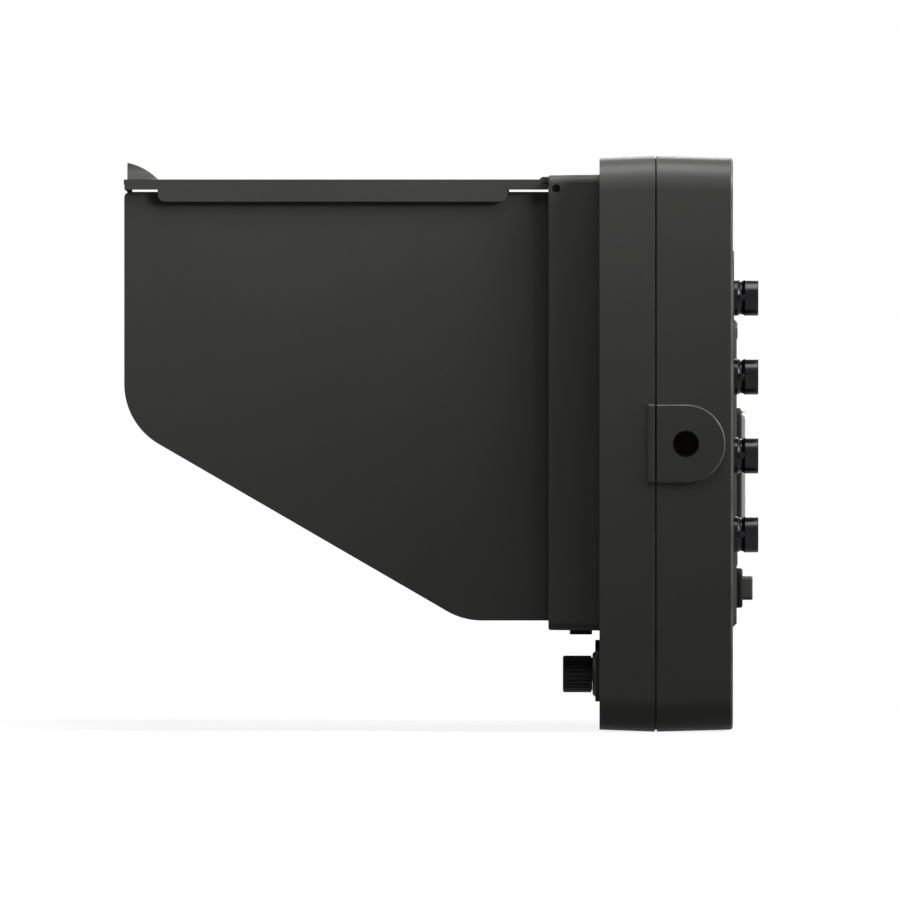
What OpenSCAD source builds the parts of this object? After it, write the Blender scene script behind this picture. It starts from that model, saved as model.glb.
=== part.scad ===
// Field monitor for a camera, with a folding sun hood round its screen.
// X runs across the screen, Y from the hood towards the back, Z up.
// The modules place pieces from the screen face, where Y is zero, and seat() moves
// them so that the origin lies under the middle of the whole monitor.

/* [Body] */
// Width of the body across the screen
body_w = 232; // [226:0.5:260]
// Height of the body at its seam
body_h = 153.1; // [152:0.1:175]
// Depth of the front shell, from screen face to seam
front_depth = 14.85; // [14:0.05:18]
// Depth of the rear shell, from seam to back face
rear_depth = 20.35; // [20.2:0.05:28]
// Width of the seam between the shells
seam_gap = 0.3; // [0.2:0.05:0.5]
// Depth of the seam's dark groove
seam_groove = 0.5; // [0.3:0.05:0.8]
// How far each side draws in between the seam and the outer faces
body_draft = 0.53; // [0.2:0.01:0.8]
// Radius of the four corners, seen from the front
body_corner_r = 8.8; // [6:0.1:12]
// Softened edge round the back face
back_edge = 0.6; // [0.3:0.05:1]
// Wall thickness of both shells
shell_wall = 2.2; // [1.8:0.1:2.6]

/* [Side pads] */
// Half height of the raised pad round each side thread
pad_r = 10.5; // [9:0.1:12]
// Distance of the side thread behind the screen face
pad_y = 22.97; // [22.5:0.01:24]
// Height of the side thread above the middle of the body
pad_lift = 0.05; // [-4:0.05:4]
// Start of the pad's ramp behind the screen face
pad_front = 12.5; // [11:0.1:13.5]
// Length of the pad's ramp
pad_ramp = 2.2; // [1:0.1:3]
// How far the pad stands proud of the shell
pad_proud = 0.6; // [0.3:0.05:1.2]
// Chamfer round the pad
pad_chamfer = 0.3; // [0.1:0.05:0.3]
// Radius of the clearance hole over each thread
thread_mouth_r = 3.55; // [3.4:0.05:4]
// Radius of the mounting threads, major size
thread_r = 3.175; // [3:0.005:3.3]
// Length of a threaded insert
insert_len = 8; // [7:0.1:9]
// Outer radius of a threaded insert
insert_r = 5; // [4.6:0.1:5.4]

/* [Screen] */
// Distance of the picture from each side of the body
screen_side = 16.65; // [16.5:0.05:22]
// Distance of the picture from the top of the body
screen_above = 9.6; // [9.5:0.1:14]
// Distance of the picture from the base
screen_below = 31.6; // [31.5:0.1:36]
// Border of the glass outside the picture
glass_border = 1.8; // [1:0.1:1.9]
// Thickness of the cover glass
glass_t = 1.2; // [0.8:0.05:1.4]
// How deep the glass lies under the screen face
glass_recess = 0.2; // [0.1:0.05:0.4]
// Thickness of the display panel
lcd_t = 2.2; // [1.6:0.1:2.6]
// Thickness of the backlight behind it
backlight_t = 3.8; // [3:0.1:4]

/* [Hood frame] */
// Distance of the frame round the screen from each side of the body
frame_side = 11.5; // [10:0.1:12]
// Depth of the frame in front of the screen face
frame_depth = 13.6; // [13.5:0.05:15]
// Height of the frame's lower face above the base
frame_z0 = 26.97; // [26.5:0.01:27.2]
// Distance of the frame's upper face from the top of the body
frame_above = 5.05; // [4:0.01:5.3]
// Difference in height between the frame's front and back
frame_draft = 0.26; // [0:0.01:0.4]
// Thickness of the frame's side walls
frame_wall = 2; // [1.7:0.05:2.1]
// Thickness of the frame's floor
frame_floor = 2.2; // [2:0.05:2.3]
// Thickness of the frame's top
frame_top = 2; // [1.8:0.05:2.2]
// Depth of the frame's top, short of the flap's hinge
frame_top_depth = 7.5; // [7:0.05:7.6]
// Corner radius of the frame, seen from the front
frame_corner_r = 2.2; // [1.2:0.1:4]
// Chamfer on the frame's front edge
frame_chamfer = 0.6; // [0.2:0.05:0.8]

/* [Hood flap] */
// Reach of the flap's front edge before the screen face
hood_reach = 126.6; // [122:0.1:130]
// Distance of the flap's hinge pins before the screen face
flap_pin_y = 11.47; // [11.4:0.01:11.6]
// Distance of the flap's hinge pins below the frame's upper face
flap_pin_drop = 3.55; // [3.45:0.01:3.65]
// Radius of the flap's hinge pins
flap_pin_r = 1.09; // [0.9:0.01:1.2]
// Distance of the flap's upper face below the frame's upper face
flap_drop = 1.15; // [0.95:0.01:1.25]
// Thickness of the flap's sheet
flap_t = 1.3; // [1:0.05:1.4]
// Width of the flap's side flanges, wall thickness
flange_t = 1.2; // [1:0.05:1.3]
// Height of the side flanges
flange_h = 5.9; // [4.4:0.1:6.9]
// Radius of the side flanges' lower corners
flange_r = 2.1; // [1:0.1:3]
// Length of flap in front of the side flanges
flange_front_inset = 9; // [6:0.1:12]
// Length of flap behind the side flanges
flange_rear_inset = 10.6; // [8:0.1:14]
// Height of the stiffening rib over the flap's rear edge
rib_h = 0.7; // [0.4:0.05:0.75]
// Depth of the rib's flat crest
rib_d = 1.4; // [1:0.05:1.6]
// Width of the finger grip on the front edge
grip_w = 40; // [24:1:60]
// Height of the finger grip over the flap
grip_h = 4.45; // [3:0.05:5]
// Depth of the finger grip at its root
grip_d = 7.9; // [6:0.1:9]
// Radius of the finger grip's arc, seen from the side
grip_arc_r = 15.7; // [8:0.1:24]
// Width of the catch under the front edge
catch_w = 12; // [8:0.5:20]
// How far the catch hangs below the flap's sheet
catch_h = 2.2; // [1.8:0.05:2.6]
// How far the catch stands out before the flap's front edge
catch_out = 0.79; // [0.4:0.01:1.2]

/* [Side panels] */
// Thickness of a side panel
panel_t = 1.4; // [1.2:0.05:1.5]
// Distance of a side panel's upper edge below the flap's upper face
panel_drop = 3.3; // [3.2:0.05:3.9]
// Distance of a side panel's lower edge above the frame's lower face
panel_rise = 2.53; // [2.5:0.01:3.5]
// Height above the panel's lower edge where the slanted edge leaves the front edge
panel_knee_h = 52.3; // [40:0.1:66]
// Distance before the screen face where the slanted edge meets the lower edge
panel_heel_y = 36.3; // [30:0.1:50]
// Radius of the slanted edge's two corners
panel_knee_r = 18.5; // [8:0.5:20]
// Radius of the upper front corner
panel_tip_r = 1.6; // [0.8:0.1:4]
// Radius of the barrel on a side panel's hinge edge
barrel_r = 1.5; // [1.4:0.05:1.6]
// Radius of the side panels' hinge pins
panel_pin_r = 0.8; // [0.7:0.01:0.9]
// Distance of the right hinge before the screen face
right_hinge_y = 5.6; // [5.5:0.05:5.8]
// Distance of the left hinge before the screen face
left_hinge_y = 3.1; // [3:0.05:3.3]

/* [Controls] */
// Distance of the control strip's ends from each side of the body
strip_side = 12; // [8.5:0.5:16]
// Height of the control strip
strip_h = 14.3; // [13:0.1:16]
// Height of the control strip's centre above the base
strip_z = 15.1; // [14.8:0.05:15.6]
// Thickness of the control strip
strip_t = 1.15; // [0.8:0.05:1.4]
// Radius of the knob
knob_r = 4.9; // [4.5:0.05:6]
// Length of the knob
knob_len = 7.6; // [6.5:0.1:10]
// Number of ribs round the knob
knob_ribs = 28; // [16:1:36]
// Distance of the knob from the strip's right end
knob_inset = 20; // [14:0.5:24]
// Radius of the collar behind the knob
collar_r = 6.05; // [5.6:0.05:6.5]
// Thickness of the collar
collar_t = 0.72; // [0.5:0.02:1]
// Radius of the control shaft
shaft_r = 2; // [1.8:0.05:2.4]
// Number of push keys
key_count = 5; // [5]
// Distance between push keys
key_pitch = 18; // [15:0.5:19]
// Distance of the first key from the strip's left end
key_inset = 16; // [14:0.5:22]
// Width of a push key
key_w = 10; // [8:0.5:11]
// Height of a push key
key_h = 5.4; // [4.5:0.1:6]
// How far a push key stands out of the strip
key_proud = 0.85; // [0.6:0.05:1.2]
// Travel of a push key
key_travel = 0.5; // [0.3:0.05:0.6]

/* [Back] */
// Distance of the raised back panel from the body's left side, seen from the front
back_panel_left = 16; // [14:0.5:20]
// Distance of the raised back panel from the body's right side, seen from the front
back_panel_right = 34; // [32:0.5:36]
// Lower edge of the raised back panel above the base
back_panel_z0 = 27.5; // [24:0.1:29]
// Distance of the raised back panel from the top of the body
back_panel_above = 43.2; // [39.1:0.1:44.6]
// Thickness of the raised back panel
back_panel_t = 1.1; // [0.9:0.05:1.4]
// Number of coaxial jacks
jack_count = 4; // [3:1:4]
// Distance between coaxial jacks as a share of the body's height
jack_pitch_share = 0.1372; // [0.118:0.0001:0.14]
// Height of the lowest coaxial jack as a share of the body's height
jack_z_share = 0.3423; // [0.33:0.0001:0.35]
// Distance of the jacks from the body's right side
jack_side = 18; // [17:0.5:19]
// Outer radius of a coaxial jack
jack_r = 4.8; // [4.6:0.05:5]
// How far a coaxial jack stands out of the back face
jack_out = 6.8; // [6:0.1:9]
// Distance of the battery plate from the middle of the sockets
battery_gap = 26.8; // [24:0.1:29]
// Height of the battery plate as a share of the back panel's height
battery_h_share = 0.4563; // [0.44:0.0001:0.47]
// Height of the battery plate's centre as a share of the back panel's height
battery_z_share = 0.4745; // [0.46:0.0001:0.48]
// Thickness of the battery plate
battery_t = 1.4; // [1.2:0.05:1.8]
// Thickness of the metal lock plate on it
lock_t = 1.1; // [0.9:0.05:1.4]
// Height of the power button's centre as a share of the back panel's height
power_z_share = 0.125; // [0.12:0.001:0.13]
// Height of the power button's cap
power_h = 6.3; // [5.5:0.1:6.5]
// Width of the power button's cap
power_w = 8.6; // [7:0.1:9]
// Travel of the power button
power_travel = 1.2; // [0.8:0.1:1.4]

/* [Electronics] */
// Thickness of every circuit board
board_t = 1.6; // [1.2:0.1:1.6]
// Thickness of the metal bracket behind the backlight
bracket_t = 1; // [0.8:0.1:1.2]
// Height of the bracket's spacers
spacer_h = 4; // [3.5:0.1:4.2]
// Width and height of the processor
chip_w = 30; // [24:1:34]
// Thickness of the processor
chip_t = 2; // [1.5:0.1:2.2]
// Width and height of the heat sink
sink_w = 52; // [44:1:56]
// Height of the heat sink over the processor
sink_h = 8.6; // [7:0.1:8.8]
// Number of fins on the heat sink
sink_fins = 9; // [5:1:11]
// Depth of the loudspeaker box
speaker_d = 7; // [5:0.1:8]

/* [Fasteners] */
// Shank radius of the shell screws
shell_screw_r = 1.5; // [1.3:0.05:1.7]
// Head radius of the shell screws
shell_head_r = 2.8; // [2.4:0.05:3]
// Shank radius of the small screws
small_screw_r = 1.1; // [0.9:0.05:1.2]
// Head radius of the small screws
small_head_r = 2.1; // [1.8:0.05:2.2]

/* [Hidden] */
$fn = 64;

// Clearances and the overrun of every cut
overrun = 1;
fit_gap = 0.01;
running_gap = 0.05;
sliding_gap = 0.15;
loose_gap = 0.3;
play = 0.1;

// Steps in which each rounded corner of an outline is drawn
corner_steps = 6;
knee_steps = 14;

// Screen, frame, flap and side panels, from the size of the body
display_w = body_w - 2 * screen_side;
display_h = body_h - screen_above - screen_below;
display_z = screen_below + display_h / 2;
frame_w = body_w - 2 * frame_side;
frame_z1 = body_h - frame_above;
flap_pin_z = frame_z1 - flap_pin_drop;
flap_z1 = frame_z1 - flap_drop;
flange_z0 = flap_z1 - flange_h;
panel_z1 = flap_z1 - panel_drop;
panel_z0 = frame_z0 + panel_rise;
panel_knee_z = panel_z0 + panel_knee_h;
pad_z = body_h / 2 + pad_lift;

// Controls and back, from the size of the body
strip_w = body_w - 2 * strip_side;
knob_x = strip_w / 2 - knob_inset;
key_start = strip_w / 2 - key_inset;
back_panel_x0 = -body_w / 2 + back_panel_left;
back_panel_x1 = body_w / 2 - back_panel_right;
back_panel_z1 = body_h - back_panel_above;
back_panel_h = back_panel_z1 - back_panel_z0;
jack_pitch = jack_pitch_share * body_h;
jack_z = jack_z_share * body_h;
jack_x = body_w / 2 - jack_side;
socket_inset = 20;
socket_x = back_panel_x1 - socket_inset;
power_x = socket_x;
power_z = back_panel_z0 + power_z_share * back_panel_h;
battery_w = 2 * (socket_x - battery_gap);
battery_h = battery_h_share * back_panel_h;
battery_z = back_panel_z0 + battery_z_share * back_panel_h;

// Depths from the screen face towards the back
seam_y0 = front_depth;
seam_y1 = front_depth + seam_gap;
back_y = seam_y1 + rear_depth;
back_inner_y = back_y - shell_wall;
panel_face_y = back_y + back_panel_t;
glass_y1 = glass_recess + glass_t;
// Shelf of the front shell that carries the glass
face_ledge = 1;
face_wall = glass_y1 + face_ledge;
lcd_y1 = face_wall + lcd_t;
backlight_y1 = lcd_y1 + backlight_t;
bracket_y1 = backlight_y1 + bracket_t;
main_board_y0 = bracket_y1 + spacer_h;
main_board_y1 = main_board_y0 + board_t;

// Where the whole monitor's depth is centred
jack_end_y = back_y + jack_out;
catch_y = -hood_reach - catch_out;
front_end_y = catch_y;
origin_y = -(front_end_y + jack_end_y) / 2;

// Glass, display and window
glass_w = display_w + 2 * glass_border;
glass_h = display_h + 2 * glass_border;
glass_corner_r = 1.5;
window_margin = 0.6;
lcd_margin = 2.1;
lcd_w = display_w + 2 * lcd_margin;
lcd_h = display_h + 2 * lcd_margin;

// Frame
frame_zc = (frame_z0 + frame_z1) / 2;
frame_h = frame_z1 - frame_z0;
frame_inner_w = frame_w - 2 * frame_wall;
frame_inner_z0 = frame_z0 + frame_floor;
frame_inner_z1 = frame_z1 - frame_top;
frame_inner_r = 1;
tab_w = 12;
tab_t = 1.2;
tab_len = 1.8;
tab_xs_share = [-0.35, 0.35];
tab_zs = [frame_z0 + tab_t, frame_z1 - tab_t];

// Flap
flap_half_w = frame_inner_w / 2 - loose_gap;
flap_rear_y = -frame_depth - 0.9 * loose_gap;
flap_under = flap_z1 - flap_t;
flap_corner_r = 1.6;
ear_wall = 1.01;
ear_r = flap_pin_r + ear_wall;
hinge_y = -flap_pin_y;
rib_slope = 0.8;
lip_r = 3.3;
lip_t = 1.1;
lip_angle = 150;
pin_recess = 0.5;
catch_d = 1.9;
catch_nose = 0.8;
pin_bore_r = flap_pin_r + 1.2 * running_gap;

// Side panels
panel_gap = 0.4;
panel_x1 = flap_half_w - flange_t - panel_gap;
panel_x0 = panel_x1 - panel_t;
panel_xc = (panel_x0 + panel_x1) / 2;
panel_front_y = -hood_reach + play;
pin_hold = 2;
pin_seat = 1.4;

// Latch under the frame
latch_w = 12;
latch_d = 6;
latch_t = 1.6;
latch_y = -4.97;
latch_drop = 0.57;
latch_stem_d = 2.9;
latch_stem_w = 8;
latch_travel = 4;
latch_plate_t = 0.9;
latch_plate_w = 14;
latch_bed = 1;
latch_z1 = frame_z0 - latch_drop;

// Control strip, keys and knob
strip_corner_r = 3;
strip_edge = 0.3;
key_corner_r = 1;
key_edge = 0.35;
key_flange = 1;
key_flange_t = 0.8;
key_z = strip_z;
switch_w = 6;
switch_room = 3.6;
input_board_y0 = face_wall + switch_room;
input_board_h = 13;
input_board_inset = 4;
input_board_w = strip_w - 2 * input_board_inset;
switch_y0 = face_wall + play + key_flange_t + key_travel + play;
knob_y1 = -strip_t - collar_t - loose_gap;
knob_y0 = knob_y1 - knob_len;
knob_chamfer = 0.5;
knob_rib_h = 0.3;
rib_crest_share = 0.42;
rib_foot_share = 0.62;
bushing_wall = 1.4;
bushing_r = shaft_r + bushing_wall;
encoder_w = 12;
encoder_floor = 0.8;
knob_cap = 1.1;
lens_gap = 22;
lens_x = knob_x - lens_gap;
lens_r = 1.5;
lens_proud = 0.3;

// Rear pieces
panel_slope = 1;
panel_corner_r = 3;
jack_pad_w = 19;
jack_pad_t = 0.3;
jack_pad_above = 12.5;
jack_pad_below = 8;
jack_flange_r = 6.2;
jack_flange_t = 1.5;
jack_base_end = 1.3;
jack_waist_end = 3.2;
jack_waist = 0.4;
jack_edge = 0.25;
jack_bore_r = 4.05;
jack_floor = 1;
insulator_r = 2.35;
insulator_back = 1.1;
insulator_inset = 1;
contact_r = 0.8;
contact_bore_r = 0.45;
lug_r = 0.9;
lug_out = 0.35;
io_post_h = 4.7;
io_board_y1 = back_inner_y - io_post_h;
io_board_y0 = io_board_y1 - board_t;
io_post_r = 2;
socket_recess = 0.2;
socket_y1 = panel_face_y - socket_recess;
video_z_share = [0.8556, 0.6857];
video_z = [for (share = video_z_share) back_panel_z0 + share * back_panel_h];
video_w = 15;
video_h = 5.6;
video_wall = 0.5;
video_floor = 1.2;
tongue_t = 1;
service_z_share = 0.5218;
service_z = back_panel_z0 + service_z_share * back_panel_h;
service_w = 13.2;
service_h = 5.8;
earphone_z_share = 0.3641;
earphone_z = back_panel_z0 + earphone_z_share * back_panel_h;
earphone_r = 3;
earphone_bore_r = 1.8;
inlet_gap = 28;
inlet_x = socket_x - inlet_gap;
inlet_r = 4.9;
inlet_bore_r = 2.9;
inlet_pin_r = 1.05;
inlet_out = 1.3;
bezel_w = 14;
bezel_h = 10.5;
bezel_t = 1.6;
bezel_edge = 0.6;
power_out = 4.3;
power_flange = 1;
power_flange_t = 1;
power_edge = 0.4;
slot_w = 2.4;
vent_h = 20;
vent_pitch = 9;
vent_count = 15;
vent_above = 33.1;
vent_z = body_h - vent_above;
panel_vent_h = 9;
panel_vent_z_share = 0.7888;
panel_vent_z = back_panel_z0 + panel_vent_z_share * back_panel_h;
panel_vent_count = 7;
speaker_inset = 22;
speaker_x = back_panel_x0 + speaker_inset;
speaker_w = 38;
speaker_h = 18;
speaker_z_share = 0.4187;
speaker_z = back_panel_z0 + speaker_z_share * back_panel_h;
speaker_slots = 6;
speaker_pitch = 5;
speaker_slot_h = 11;
panel_screw_zs_share = [0.2245, 0.9587];
panel_screw_zs = [for (share = panel_screw_zs_share) back_panel_z0 + share * back_panel_h];
panel_screw_inset = 5.5;
panel_head_t = 0.25;
panel_screw_len = 4.6;
battery_corner_r = 2;
battery_edge = 0.4;
lock_left = 8.2;
lock_right = 2.2;
lock_x0 = -battery_w / 2 + lock_left;
lock_x1 = battery_w / 2 - lock_right;
lock_margin = 0.5;
lock_edge = 0.6;
lock_slot_w_share = 0.1167;
lock_slot_w = lock_slot_w_share * (lock_x1 - lock_x0);
lock_slot_h = 3.2;
lock_slot_xs_share = [0.25, 0.6];
lock_slot_inset = 5.3;
lock_slot_z = battery_h / 2 - lock_slot_inset;
contact_x_share = 0.7833;
contact_x = lock_x0 + contact_x_share * (lock_x1 - lock_x0);
contact_w = 7;
contact_t = 1.2;
contact_h = 1;
contact_pitch = 6;
release_w = 3.1;
release_h = 13;
release_travel = 1.5;
release_gap = 1.5;
release_x1 = lock_x0 - release_gap;
release_out = 0.9;
release_lift = 0.05;

// Structure inside
post_r = 3.6;
shell_post_side = 10.56;
shell_post_inset = 11.6;
screw_head_t = 2;
screw_shoulder = 3.2;
screw_bite = 8;
small_screw_bite = 3;
bracket_post_inset = 9.4;
bracket_post_x = body_w / 2 - bracket_post_inset;
bracket_post_r = 2.6;
bracket_post_zs_share = [0.25, 0.85];
bracket_tail = 2.6;
board_side = 37.35;
board_end = 19.95;
board_lift = 0.45;
board_w = display_w - 2 * board_side;
board_h = display_h - 2 * board_end;
board_z = display_z + board_lift;
board_hole_inset = 4;
spacer_r = 2.5;
sink_base = 2;
fin_t = 1.2;
io_board_left = 10;
io_board_right = 11;
io_board_inset = 3;
io_board_x0 = inlet_x - io_board_left;
io_board_x1 = socket_x + io_board_right;
io_board_z0 = back_panel_z0 + io_board_inset;
io_board_z1 = back_panel_z1 - io_board_inset;
io_hole_inset = 2.6;
jack_board_w = 21;
jack_board_margin = 10;
insert_wall = 1.6;
insert_floor = 1;
insert_depth = 1.3;
insert_x1 = body_w / 2 - insert_depth;
insert_x0 = insert_x1 - insert_len;
insert_z0 = insert_depth;
insert_z1 = insert_z0 + insert_len;

// A vector's direction
function unit(v) = v / norm(v);
// An angle brought into the half turn either side of zero
function near_angle(a) = a > 180 ? a - 360 : (a < -180 ? a + 360 : a);
// Points of an arc about c from angle a0 to angle a1
function arc(c, r, a0, a1, n) = [
    for (i = [0 : n])
        c + r * [cos(a0 + (a1 - a0) * i / n), sin(a0 + (a1 - a0) * i / n)]
];
// Points that round the corner b between its neighbours a and c
function corner(a, b, c, r, n) =
    let (
        u = unit(a - b),
        v = unit(c - b),
        half = acos(u * v) / 2,
        centre = b + unit(u + v) * r / sin(half),
        p = b + u * r / tan(half) - centre,
        q = b + v * r / tan(half) - centre,
        a0 = atan2(p[1], p[0]),
        a1 = a0 + near_angle(atan2(q[1], q[0]) - a0)
    )
    r > 0 ? arc(centre, r, a0, a1, n) : [b];
// An outline with every corner rounded by its own radius
function rounded(pts, radii, n) = [
    for (i = [0 : len(pts) - 1])
        each corner(
            pts[(i + len(pts) - 1) % len(pts)], pts[i],
            pts[(i + 1) % len(pts)], radii[i], n)
];
// A rounded rectangle between two corners
function round_rect(x0, x1, z0, z1, r) =
    rounded([[x0, z0], [x1, z0], [x1, z1], [x0, z1]], [r, r, r, r], corner_steps);
// The same rectangle as a ring at depth y, drawn in by an inset
function ring(x0, x1, z0, z1, r, y, inset) = [
    for (p = round_rect(x0 + inset, x1 - inset, z0 + inset, z1 - inset,
            max(r - inset, 0.2 * r)))
        [p[0], y, p[1]]
];

// A solid through rings that have equally many points, from the first to the last
module loft(rings) {
    n = len(rings[0]);
    last = len(rings) - 1;
    points = [for (r = rings) each r];
    first_cap = [for (k = [0 : n - 1]) n - 1 - k];
    last_cap = [for (k = [0 : n - 1]) last * n + k];
    sides = [
        for (i = [0 : last - 1])
            for (k = [0 : n - 1])
                let (
                    a = i * n + k,
                    b = i * n + (k + 1) % n,
                    c = (i + 1) * n + (k + 1) % n,
                    d = (i + 1) * n + k
                )
                each [[a, b, c], [a, c, d]]
    ];
    polyhedron(points, concat([first_cap], sides, [last_cap]));
}
// A block between two opposite corners
module block(x0, x1, y0, y1, z0, z1) {
    translate([x0, y0, z0]) cube([x1 - x0, y1 - y0, z1 - z0]);
}
// A plate whose outline lies in X and Z, from depth y0 to y1
module plate_xz(points, y0, y1) {
    translate([0, y1, 0]) rotate([90, 0, 0]) linear_extrude(y1 - y0) polygon(points);
}
// A plate whose outline lies in Y and Z, from x0 to x1
module plate_yz(points, x0, x1) {
    translate([x0, 0, 0]) rotate([90, 0, 90]) linear_extrude(x1 - x0) polygon(points);
}
// A round rod along each axis
module rod_y(x, z, r, y0, y1) {
    translate([x, y1, z]) rotate([90, 0, 0]) cylinder(r = r, h = y1 - y0);
}
module rod_x(y, z, r, x0, x1) {
    translate([x0, y, z]) rotate([0, 90, 0]) cylinder(r = r, h = x1 - x0);
}
module rod_z(x, y, r, z0, z1) {
    translate([x, y, z0]) cylinder(r = r, h = z1 - z0);
}
// A shape turned about an axis along Y, from a profile of radius and depth
module turned(x, z, profile) {
    translate([x, 0, z]) rotate([-90, 0, 0]) rotate_extrude() polygon(profile);
}
// The monitor's place over the origin
module seat() {
    translate([0, origin_y, 0]) children();
}
// Both sides alike
module both_sides() {
    for (side = [0, 1])
        mirror([side, 0, 0]) children();
}

// One ring of the body at depth y, drawn in from its size at the seam
function body_ring(y, inset) =
    ring(-body_w / 2, body_w / 2, 0, body_h, body_corner_r, y, inset);
// Outline of the hollow inside the shells
function hollow_outline() = round_rect(
    -body_w / 2 + shell_wall, body_w / 2 - shell_wall, shell_wall,
    body_h - shell_wall, body_corner_r - shell_wall);
// Outline of a side pad, drawn in by an inset, its front end by another length
function pad_ring(x, inset, front) = [
    for (p = concat(
            [[pad_front + front, pad_z - pad_r + inset]],
            arc([pad_y, pad_z], pad_r - inset, -90, 90, 2 * corner_steps),
            [[pad_front + front, pad_z + pad_r - inset]]))
        [x, p[0], p[1]]
];
pad_face_x = body_w / 2 + pad_proud;
pad_root_x = body_w / 2 - body_draft - 0.5 * shell_wall;

// The part of both side pads that lies between two depths
module side_pads(y0, y1) {
    both_sides()
        intersection() {
            loft([
                pad_ring(pad_face_x, pad_chamfer, pad_ramp),
                pad_ring(pad_face_x - pad_chamfer, 0, pad_ramp / 2),
                pad_ring(pad_root_x, 0, 0)
            ]);
            block(pad_root_x - overrun, pad_face_x + overrun, y0, y1,
                pad_z - pad_r - overrun, pad_z + pad_r + overrun);
        }
}

// Places of the shell screws, in X and Z
shell_screw_places = [
    for (side = [-1, 1])
        for (z = [shell_post_inset, body_h - shell_post_inset])
            [side * (body_w / 2 - shell_post_side), z]
];
// Places of the bracket screws
bracket_places = [
    for (x = [-bracket_post_x, bracket_post_x])
        for (s = bracket_post_zs_share)
            [x, frame_z0 + s * frame_h]
];
// Places of the main board's screws
board_places = [
    for (sx = [-1, 1])
        for (sz = [-1, 1])
            [sx * (board_w / 2 - board_hole_inset), board_z + sz * (board_h / 2 - board_hole_inset)]
];
// Places of the posts under the input board
input_post_r = 2;
input_post_x = input_board_w / 2 - input_post_r;
input_places = [for (x = [-input_post_x, 0, input_post_x]) [x, strip_z]];
// Places of the posts under the back sockets' board
io_places = [
    for (x = [io_board_x0 + io_hole_inset, io_board_x1 - io_hole_inset])
        for (z = [io_board_z0 + io_hole_inset, io_board_z1 - io_hole_inset])
            [x, z]
];
key_xs = [for (i = [0 : key_count - 1]) -key_start + i * key_pitch];
jack_zs = [for (i = [0 : jack_count - 1]) jack_z + i * jack_pitch];

module front_shell() {
    color("#3b3b38") seat()
        difference() {
            union() {
                difference() {
                    loft([body_ring(0, body_draft), body_ring(seam_y0, 0)]);
                    plate_xz(hollow_outline(), face_wall, seam_y0 + overrun);
                }
                side_pads(pad_front - overrun, seam_y0);
                for (p = shell_screw_places)
                    rod_y(p[0], p[1], post_r, face_wall - face_ledge, seam_y0);
                for (p = bracket_places)
                    rod_y(p[0], p[1], bracket_post_r, face_wall - face_ledge, backlight_y1);
                for (p = input_places)
                    rod_y(p[0], p[1], input_post_r, face_wall - face_ledge, input_board_y0);
            }
            plate_xz(round_rect(
                    -glass_w / 2 - sliding_gap, glass_w / 2 + sliding_gap,
                    display_z - glass_h / 2 - sliding_gap, display_z + glass_h / 2 + sliding_gap,
                    glass_corner_r),
                -overrun, glass_y1);
            block(-display_w / 2 - window_margin, display_w / 2 + window_margin,
                -overrun, face_wall + overrun,
                display_z - display_h / 2 - window_margin, display_z + display_h / 2 + window_margin);
            for (x = key_xs)
                plate_xz(key_outline(x, sliding_gap), -overrun, face_wall + overrun);
            rod_y(knob_x, strip_z, bushing_r + play, -overrun, face_wall + overrun);
            rod_y(lens_x, strip_z, lens_r + running_gap, -overrun, face_wall + overrun);
            for (p = shell_screw_places)
                rod_y(p[0], p[1], shell_screw_r + fit_gap, seam_y0 - screw_bite, seam_y0 + overrun);
            for (p = bracket_places)
                rod_y(p[0], p[1], small_screw_r + fit_gap,
                    backlight_y1 - small_screw_bite, backlight_y1 + overrun);
            for (sx = tab_xs_share)
                for (z = tab_zs)
                    block(sx * frame_w - tab_w / 2 - sliding_gap, sx * frame_w + tab_w / 2 + sliding_gap,
                        -overrun, tab_len + sliding_gap,
                        z - tab_t / 2 - sliding_gap, z + tab_t / 2 + sliding_gap);
        }
}

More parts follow.
